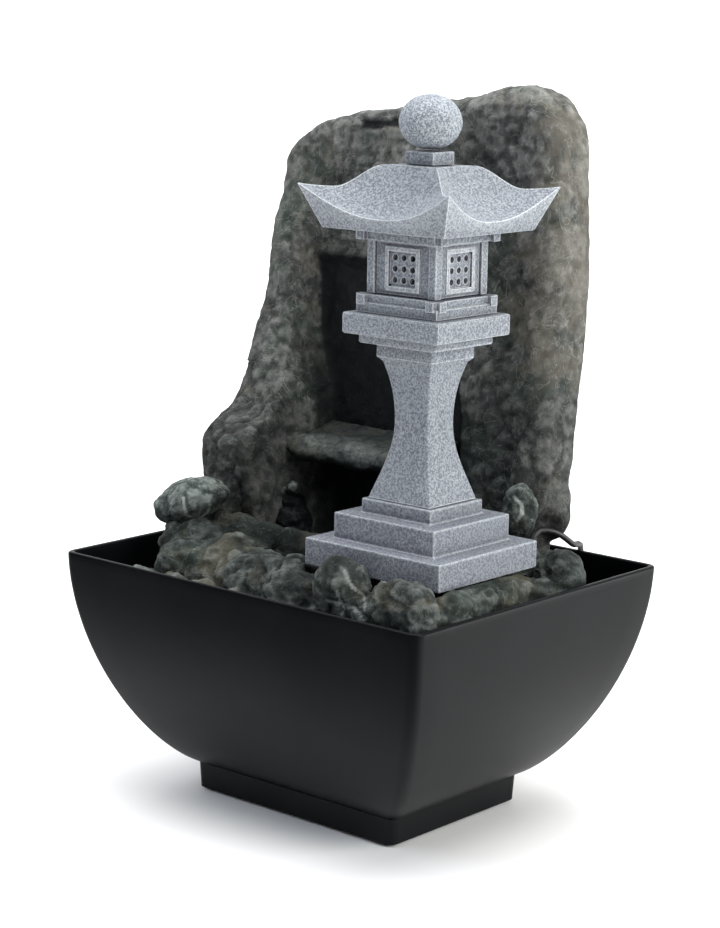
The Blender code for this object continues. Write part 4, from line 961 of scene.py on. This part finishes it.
SWELLS = [
    ((-0.0915, 0.010, 0.146), (0.0110, 0.0185, 0.0180)),
    ((-0.0880, -0.0040, 0.1270), (0.0105, 0.0150, 0.0180)),
    ((-0.0890, 0.024, 0.170), (0.0115, 0.0160, 0.0140), (20, 0, 0)),
    ((-0.0890, 0.042, 0.215), (0.0100, 0.0110, 0.0300), (-12, 0, 0)),
    ((0.0560, 0.056, 0.160), (0.0080, 0.012, 0.022)),
    ((0.0605, 0.071, 0.1420), (0.0092, 0.009, 0.0170)),
    ((0.0620, 0.056, 0.225), (0.0085, 0.012, 0.030)),
    ((0.0600, 0.058, 0.295), (0.0100, 0.013, 0.028)),
    ((-0.0300, 0.054, 0.300), (0.0500, 0.010, 0.011), (0, -4, 0)),
]
wall_forms = [nodes["rock_wall"].data, *(blob(*spec) for spec in SWELLS)]
wall_mesh = carve(lump("wall_clay", wall_forms, 0.0017), wall_relief, wall_hold)
piece("carved_wall", wall_mesh, rock, "rockwork", "rock", "rock_wall")


# %% [markdown]
# ## Ledge
# The slab that the water falls on has a wavy lip. Its front is lighter, and its back and underside carry
# painted shade.

# %% Ledge piece
ledge_low, ledge_high = corners_of("cascade_ledge")


def ledge_relief(place, normal):
    move, height = crags(place, 0.0008, 0.0002, 0.0002, 0.016)
    # Painted shade under the slab and towards its back, where it meets the wall.
    under = smoothstep(0.1, -0.5, normal.z)
    front = smoothstep(ledge_high[1] - 0.012, ledge_low[1] + 0.004, place.y)
    painted_back_shade = 0.55 * (1 - front)
    wave = 0.0012 * math.sin(place.x * 210 + 1.3) * front
    return move + wave, 0.34 + height * 0.3 + 0.10 * front, max(painted_back_shade, 0.95 * under), 0.25, 0.3


ledge_forms = [nodes["cascade_ledge"].data]
for part in range(6):
    along = ledge_low[0] + 0.006 + part * (ledge_high[0] - ledge_low[0] - 0.012) / 5
    middle_at = (along, ledge_low[1] + 0.0052, 0.1600 - 0.0012 * (part % 2))
    ledge_forms.append(blob(middle_at, (0.0125, 0.0052, 0.0058)))
ledge_forms.append(blob((-0.0790, 0.0330, 0.1610), (0.0120, 0.0150, 0.0085)))
ledge_mesh = carve(lump("ledge_clay", ledge_forms, 0.0009), ledge_relief)
piece("carved_ledge", ledge_mesh, bed_rock, "rockwork", "rock", "cascade_ledge")


# %% [markdown]
# ## The bed, its pool and its boulders
# Along the front edge runs a rugged ridge of worn boulders, one with a branched white vein. Behind it a
# smooth lip holds the pool. Each boulder is a lumpy egg pressed into the bed, so that they meet in
# natural creases.
# One fault is left here: the remesh loses the bed's thin floor and its four legs, and leaves loose
# crumbs in their place. It doesn't show at rest, but it does when the rockwork is lifted out.

# %% Bed
bed_low, bed_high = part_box("rock_bed")
BOULDERS = [
    ((-0.0740, -0.0380, 0.1160), (0.0190, 0.0185, 0.0170), (0, 0, 10)),
    ((-0.0620, -0.0520, 0.1125), (0.0175, 0.0150, 0.0145), (0, 12, 20)),
    ((-0.0400, -0.0450, 0.1150), (0.0150, 0.0190, 0.0155), (0, -8, -30)),
    ((-0.0220, -0.0560, 0.1110), (0.0200, 0.0135, 0.0140), (0, -14, -20)),
    ((0.0000, -0.0510, 0.1150), (0.0125, 0.0140, 0.0130), (0, 14, 30)),
    ((0.0180, -0.0650, 0.1110), (0.0165, 0.0110, 0.0150), (0, 0, 10)),
    ((-0.0160, -0.0500, 0.1150), (0.0380, 0.0120, 0.0125), (0, 3, -8)),
    ((-0.0420, -0.0560, 0.1120), (0.0260, 0.0110, 0.0120), (0, 4, -4)),
    ((-0.0010, -0.0620, 0.1090), (0.0260, 0.0080, 0.0125), (0, 2, -4)),
    ((0.0480, -0.0660, 0.1215), (0.0140, 0.0105, 0.0170), (0, 6, 0)),
    ((0.0650, -0.0665, 0.1130), (0.0095, 0.0090, 0.0095)),
    ((0.0830, -0.0660, 0.1170), (0.0195, 0.0108, 0.0160), (0, 6, -8)),
    ((0.0925, 0.0320, 0.1165), (0.0118, 0.0130, 0.0160), (0, 0, 20)),
    ((0.0975, -0.0480, 0.1120), (0.0068, 0.0190, 0.0132)),
    ((0.0970, -0.0150, 0.1125), (0.0068, 0.0220, 0.0130)),
    ((0.0960, 0.0130, 0.1120), (0.0070, 0.0150, 0.0115)),
    ((0.0948, -0.0230, 0.1155), (0.0078, 0.0440, 0.0115)),
    ((0.0640, 0.0360, 0.1120), (0.0148, 0.0098, 0.0200)),
    ((-0.0700, 0.0060, 0.1090), (0.0120, 0.0140, 0.0110)),
    ((-0.0700, 0.0270, 0.1180), (0.0105, 0.0095, 0.0185)),
]
SKIRT_X = (-0.075, -0.055, -0.035, -0.012, 0.006, 0.036, 0.058, 0.080, 0.093)
SKIRT = [((x, -0.0705, 0.1030), (0.013, 0.0080, 0.0085)) for x in SKIRT_X]
LIP = []
for k, x in enumerate((-0.074, -0.055, -0.037, -0.019, -0.003)):
    LIP.append(((x, -0.0235 + 0.0012 * (k % 2), 0.1235 - 0.0003 * k), (0.0165, 0.0062, 0.0112), (0, 0, 4)))
base_low, base_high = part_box("lantern_base")


def bed_relief(place, normal):
    stone = noise.noise(place / 0.02)
    slanted = Vector((place.x, place.y * 0.7, place.z + place.x * 0.35))
    move, height = crags(slanted, 0.0034, 0.0009, 0.0007, 0.015)
    left_part = smoothstep(base_low[0], base_low[0] - 0.004, place.x)
    in_pool = smoothstep(-0.0215, -0.0165, place.y) * left_part
    lip = smoothstep(0.011, 0.006, abs(place.y + 0.023)) * smoothstep(0.120, 0.125, place.z) * left_part
    # Painted shade low on the bed and at each side; the pool is dark with water.
    painted_low_shade = smoothstep(0.110, 0.100, place.z)
    right_shade = 0.26 * smoothstep(0.088, 0.096, place.x) * smoothstep(0.0, 0.02, place.y)
    left_shade = 0.34 * smoothstep(-0.050, -0.062, place.x) * smoothstep(0.118, 0.124, place.z)
    wash = max(in_pool * 0.95, painted_low_shade * 0.80, 0.35 * lip, right_shade, left_shade)
    ochre = smoothstep(0.013, 0.006, abs(place.x + 0.034)) * smoothstep(-0.035, -0.045, place.y)
    warmth = min(1.0, 0.45 * smoothstep(0.0, 0.5, stone) + ochre)
    return move * (1 - 0.75 * lip), height * (1 - 0.45 * lip) + 0.06 * stone, wash, warmth, in_pool


def bed_hold(place):
    """Still under the lantern's base, on the legs and below the bed, where other pieces stand close."""
    beyond = [max(base_low[k] - place[k], place[k] - base_high[k]) for k in (0, 1)]
    if max(beyond) < 0.001 and place.z > base_low[2] - 0.004:
        return 0.0
    return smoothstep(bed_low[2] + 0.074, bed_low[2] + 0.082, place.z)


def vein_drawn(mesh, middle_at, lines, width, reach=0.05):
    """Marks the points near lines drawn on a stone's front, in metres across and up from its middle."""
    across, toward = Vector((0.756, 0.654, 0)), Vector((0.654, -0.756, 0.1))
    pairs = [(Vector(a), Vector(b)) for line in lines for a, b in zip(line, line[1:])]
    marked = []
    for vert in mesh.vertices:
        out = vert.co - middle_at
        if out.length > reach or vert.normal.dot(toward) <= 0:
            marked.append(0.0)
            continue
        here, near = Vector((out.dot(across), out.z)), 1.0
        for a, b in pairs:
            t = min(1, max(0, (here - a).dot(b - a) / (b - a).length_squared))
            near = min(near, (a.lerp(b, t) - here).length)
        marked.append(1 - smoothstep(width * 0.5, width * 1.2, near + noise.noise(vert.co / 0.003) * 0.0004))
    return keep(mesh, "vein", marked)


BRANCHED_VEIN = [
    [(0.0015, 0.0112), (0.0051, 0.0051), (0.0106, 0.0006), (0.0121, -0.0069)],
    [(-0.0060, -0.0030), (0.0015, -0.0030), (0.0091, -0.0054), (0.0115, -0.0100)],
    [(-0.0015, 0.0021), (0.0021, -0.0054), (0.0, -0.0115)],
]
spare = bmesh.new()
spare.from_mesh(nodes["rock_bed"].data)
plain_bed = helper("plain_bed", spare)
cleared = [helper("room_front", box_work((0.1140, 0.0560, 0.0400), (-0.0455, -0.0555, 0.1290)))]
cleared.append(helper("room_right", box_work((0.0400, 0.0180, 0.0400), (0.0700, -0.0640, 0.1290))))
bare_bed = shaped(plain_bed, *(("DIFFERENCE", tool) for tool in cleared))
bed_forms = [bare_bed, *(blob(*spec) for spec in BOULDERS + SKIRT + LIP)]
bed_mesh = carve(lump("bed_clay", bed_forms, 0.0011, 3), bed_relief, bed_hold)
vein_drawn(bed_mesh, Vector((0.0490, -0.0700, 0.1225)), BRANCHED_VEIN, 0.0006, 0.020)
piece("carved_bed", bed_mesh, bed_rock, "rockwork", "rock", "rock_bed")


# %% [markdown]
# Two separate stones finish the group: a rounded one on the left shoulder with a pale vein, and a light
# one that leans on the wall behind the lantern.

# %% Loose stones
veined_stone = rock_paint(
    "veined_stone", body=(0.070, 0.084, 0.080), brush=(0.42, 0.46, 0.43),
    moss=(0.056, 0.084, 0.064), earth=(0.12, 0.115, 0.09), veins=0.8,
)


def stone_relief(place, normal):
    move, height = crags(place, 0.0014, 0.0004, 0.0003, 0.012)
    shade = 0.16 + 0.45 * smoothstep(0.3, -0.6, normal.z)
    return move - 0.0003, height + 0.02, shade, 0.1, 0.0


U_VEIN = [(-0.0026, 0.0042), (-0.0020, -0.0010), (-0.0010, -0.0048), (0.0038, -0.0074)]
U_VEIN += [(0.0085, -0.0042), (0.0100, 0.0004)]
HOOK_VEIN = [(-0.0030, 0.0080), (0.0004, 0.0050), (0.0010, 0.0010), (-0.0015, -0.0030)]
STONES = [("side_boulder", (0, -16, 20), U_VEIN, 0.0042), ("leaning_stone", (0, -14, 10), HOOK_VEIN, 0.0)]
for name, spin, vein, drop in STONES:
    low, high = corners_of(name)
    reach = (high - low) * 0.5
    seat = (low + high) / 2 - Vector((0, 0, drop))
    forms = [blob(seat, reach, spin, fine=5)]
    forms += [blob(seat + reach * 0.24 * side, reach * 0.80, spin) for side in (-1, 1)]
    mesh = carve(lump(name + "_clay", forms, 0.0008, 2), stone_relief)
    piece("carved_" + name, vein_drawn(mesh, seat, [vein], 0.0008), veined_stone, "rockwork", "stone", name)
pebbles = [blob((-0.0715, 0.0215, 0.1375), (0.0030, 0.0026, 0.0026))]
pebbles.append(blob((-0.0660, 0.0240, 0.1395), (0.0036, 0.0028, 0.0034)))
pale_pebbles = carve(lump("pebble_clay", pebbles, 0.0007, 2), stone_relief)
piece("pale_pebbles", pale_pebbles, veined_stone, "rockwork", "stone")


# %% [markdown]
# ## What the rockwork hides
# Pump, hose and lamp sit out of sight, but they are real pieces with their own finishes: ribbed matte
# plastic, clear vinyl, ceramic and steel.

# %% Hidden finishes
def plain(name, colour, roughness, **more):
    """Moulded plastic or rubber: an even colour with a faint mottle and a fine skin."""
    paint = Paint(name, **more)
    mottle = grain(paint, 0.0072, 3.0)
    lighter = tuple(min(1.0, c * 1.18 + 0.002) for c in colour)
    paint.set(
        Base_Color=mix(paint, between(paint, mottle, 0.35, 0.65), colour, lighter),
        Roughness=mottle * 0.14 + (roughness - 0.07),
        Normal=bump(paint, grain(paint, 0.0012), 0.00003, 0.6),
    )
    return paint


CUPS = tuple(f"suction_cup_{k}" for k in range(1, 5))
HIDDEN = {
    plain("pump_plastic", (0.020, 0.020, 0.022), 0.50): ("pump_body", "intake_cover", "spout"),
    plain("gate_plastic", (0.33, 0.035, 0.028), 0.42): ("flow_gate",),
    plain("white_plastic", (0.76, 0.76, 0.73), 0.38): ("impeller_vanes", "led_base", "plug_tongue"),
    plain("ceramic_pin", (0.80, 0.80, 0.77), 0.22): ("impeller_shaft",),
    plain("ferrite_magnet", (0.055, 0.055, 0.060), 0.55): ("impeller_magnet",),
    plain("clear_lens", (0.88, 0.85, 0.70), 0.12): ("led_lens",),
    plain("clear_hose", (0.62, 0.68, 0.68), 0.22): ("riser_hose",),
    plain("cup_rubber", (0.42, 0.42, 0.40), 0.50): CUPS,
    plain("tie_plastic", (0.05, 0.05, 0.05), 0.55): ("coil_tie",),
    plain("plug_steel", (0.60, 0.60, 0.58), 0.28, Metallic=1.0): ("plug_shell",),
    vinyl: ("lead_gland", "led_lead", "led_coupler_plug", "led_coupler_socket", "plug_boot", "plug_body"),
}
for paint, names in HIDDEN.items():
    for name in names:
        ease(name, paint, 0.0)
print("hidden pieces finished:", sum(len(names) for names in HIDDEN.values()))


# %% [markdown]
# ## Floor and light
# A very pale sweep of floor runs up behind the fountain. A broad lamp at the right lights the faces that
# look that way, a weaker bluish one at the left keeps the front faces readable, and one above picks out
# the tops. A low panel behind gives the basin's right face its glow, and a wash whitens the backdrop.

# %% Floor
pale = Paint("pale_floor", Base_Color=(0.86, 0.86, 0.86), Roughness=0.9, Specular_IOR_Level=0.1)
BEND = 0.9
bend_angles = [k * math.pi / 24 for k in range(13)]
bend = [(1.2 + BEND * math.sin(a), BEND - BEND * math.cos(a)) for a in bend_angles]
profile = [(-3.0, 0.0), *bend, (2.1, 3.5)]
work = bmesh.new()
rows = [[work.verts.new((x, y, z)) for y, z in profile] for x in (-6.0, 6.0)]
for k in range(len(profile) - 1):
    work.faces.new((rows[0][k], rows[1][k], rows[1][k + 1], rows[0][k + 1]))
bmesh.ops.rotate(work, cent=(0, 0, 0), matrix=Matrix.Rotation(turn, 3, "Z"), verts=work.verts)
sweep = bpy.data.objects.new("pale_sweep", mesh_of("pale_sweep", work, 60))
sweep.data.materials.append(pale.material)
bpy.context.scene.collection.objects.link(sweep)


# %% Lamps
def lamp(name, place, target, size, watts, colour=(1, 1, 1)):
    light = bpy.data.lights.new(name, "AREA")
    light.shape = "SQUARE"
    light.size = size
    light.energy = watts
    light.color = colour
    made = bpy.data.objects.new(name, light)
    bpy.context.scene.collection.objects.link(made)
    made.location = place
    made.rotation_euler = (Vector(target) - Vector(place)).to_track_quat("-Z", "Y").to_euler()
    return made


middle = (0.0, 0.0, 0.17)
lamp("right_softbox", (1.7, -0.1, 1.0), middle, 0.9, 26, (0.99, 1.0, 0.965))
lamp("left_fill", (-0.9, -1.7, 1.9), middle, 1.0, 15, (0.76, 0.85, 1.0))
lamp("top_softbox", (0.2, 0.1, 1.9), middle, 1.2, 15)
lamp("rim_panel", (1.35, 1.45, 0.30), (0.05, 0.0, 0.07), 0.8, 16)
lamp("backdrop_wash", (-0.5, 0.4, 2.4), (-1.2, 1.6, 0.0), 2.5, 80)
world = bpy.data.worlds.new("studio_air")
bpy.context.scene.world = world
world.use_nodes = True
world.node_tree.nodes["Background"].inputs["Color"].default_value = (1, 1, 1, 1)
world.node_tree.nodes["Background"].inputs["Strength"].default_value = 0.34
bpy.context.scene.view_settings.view_transform = "Standard"
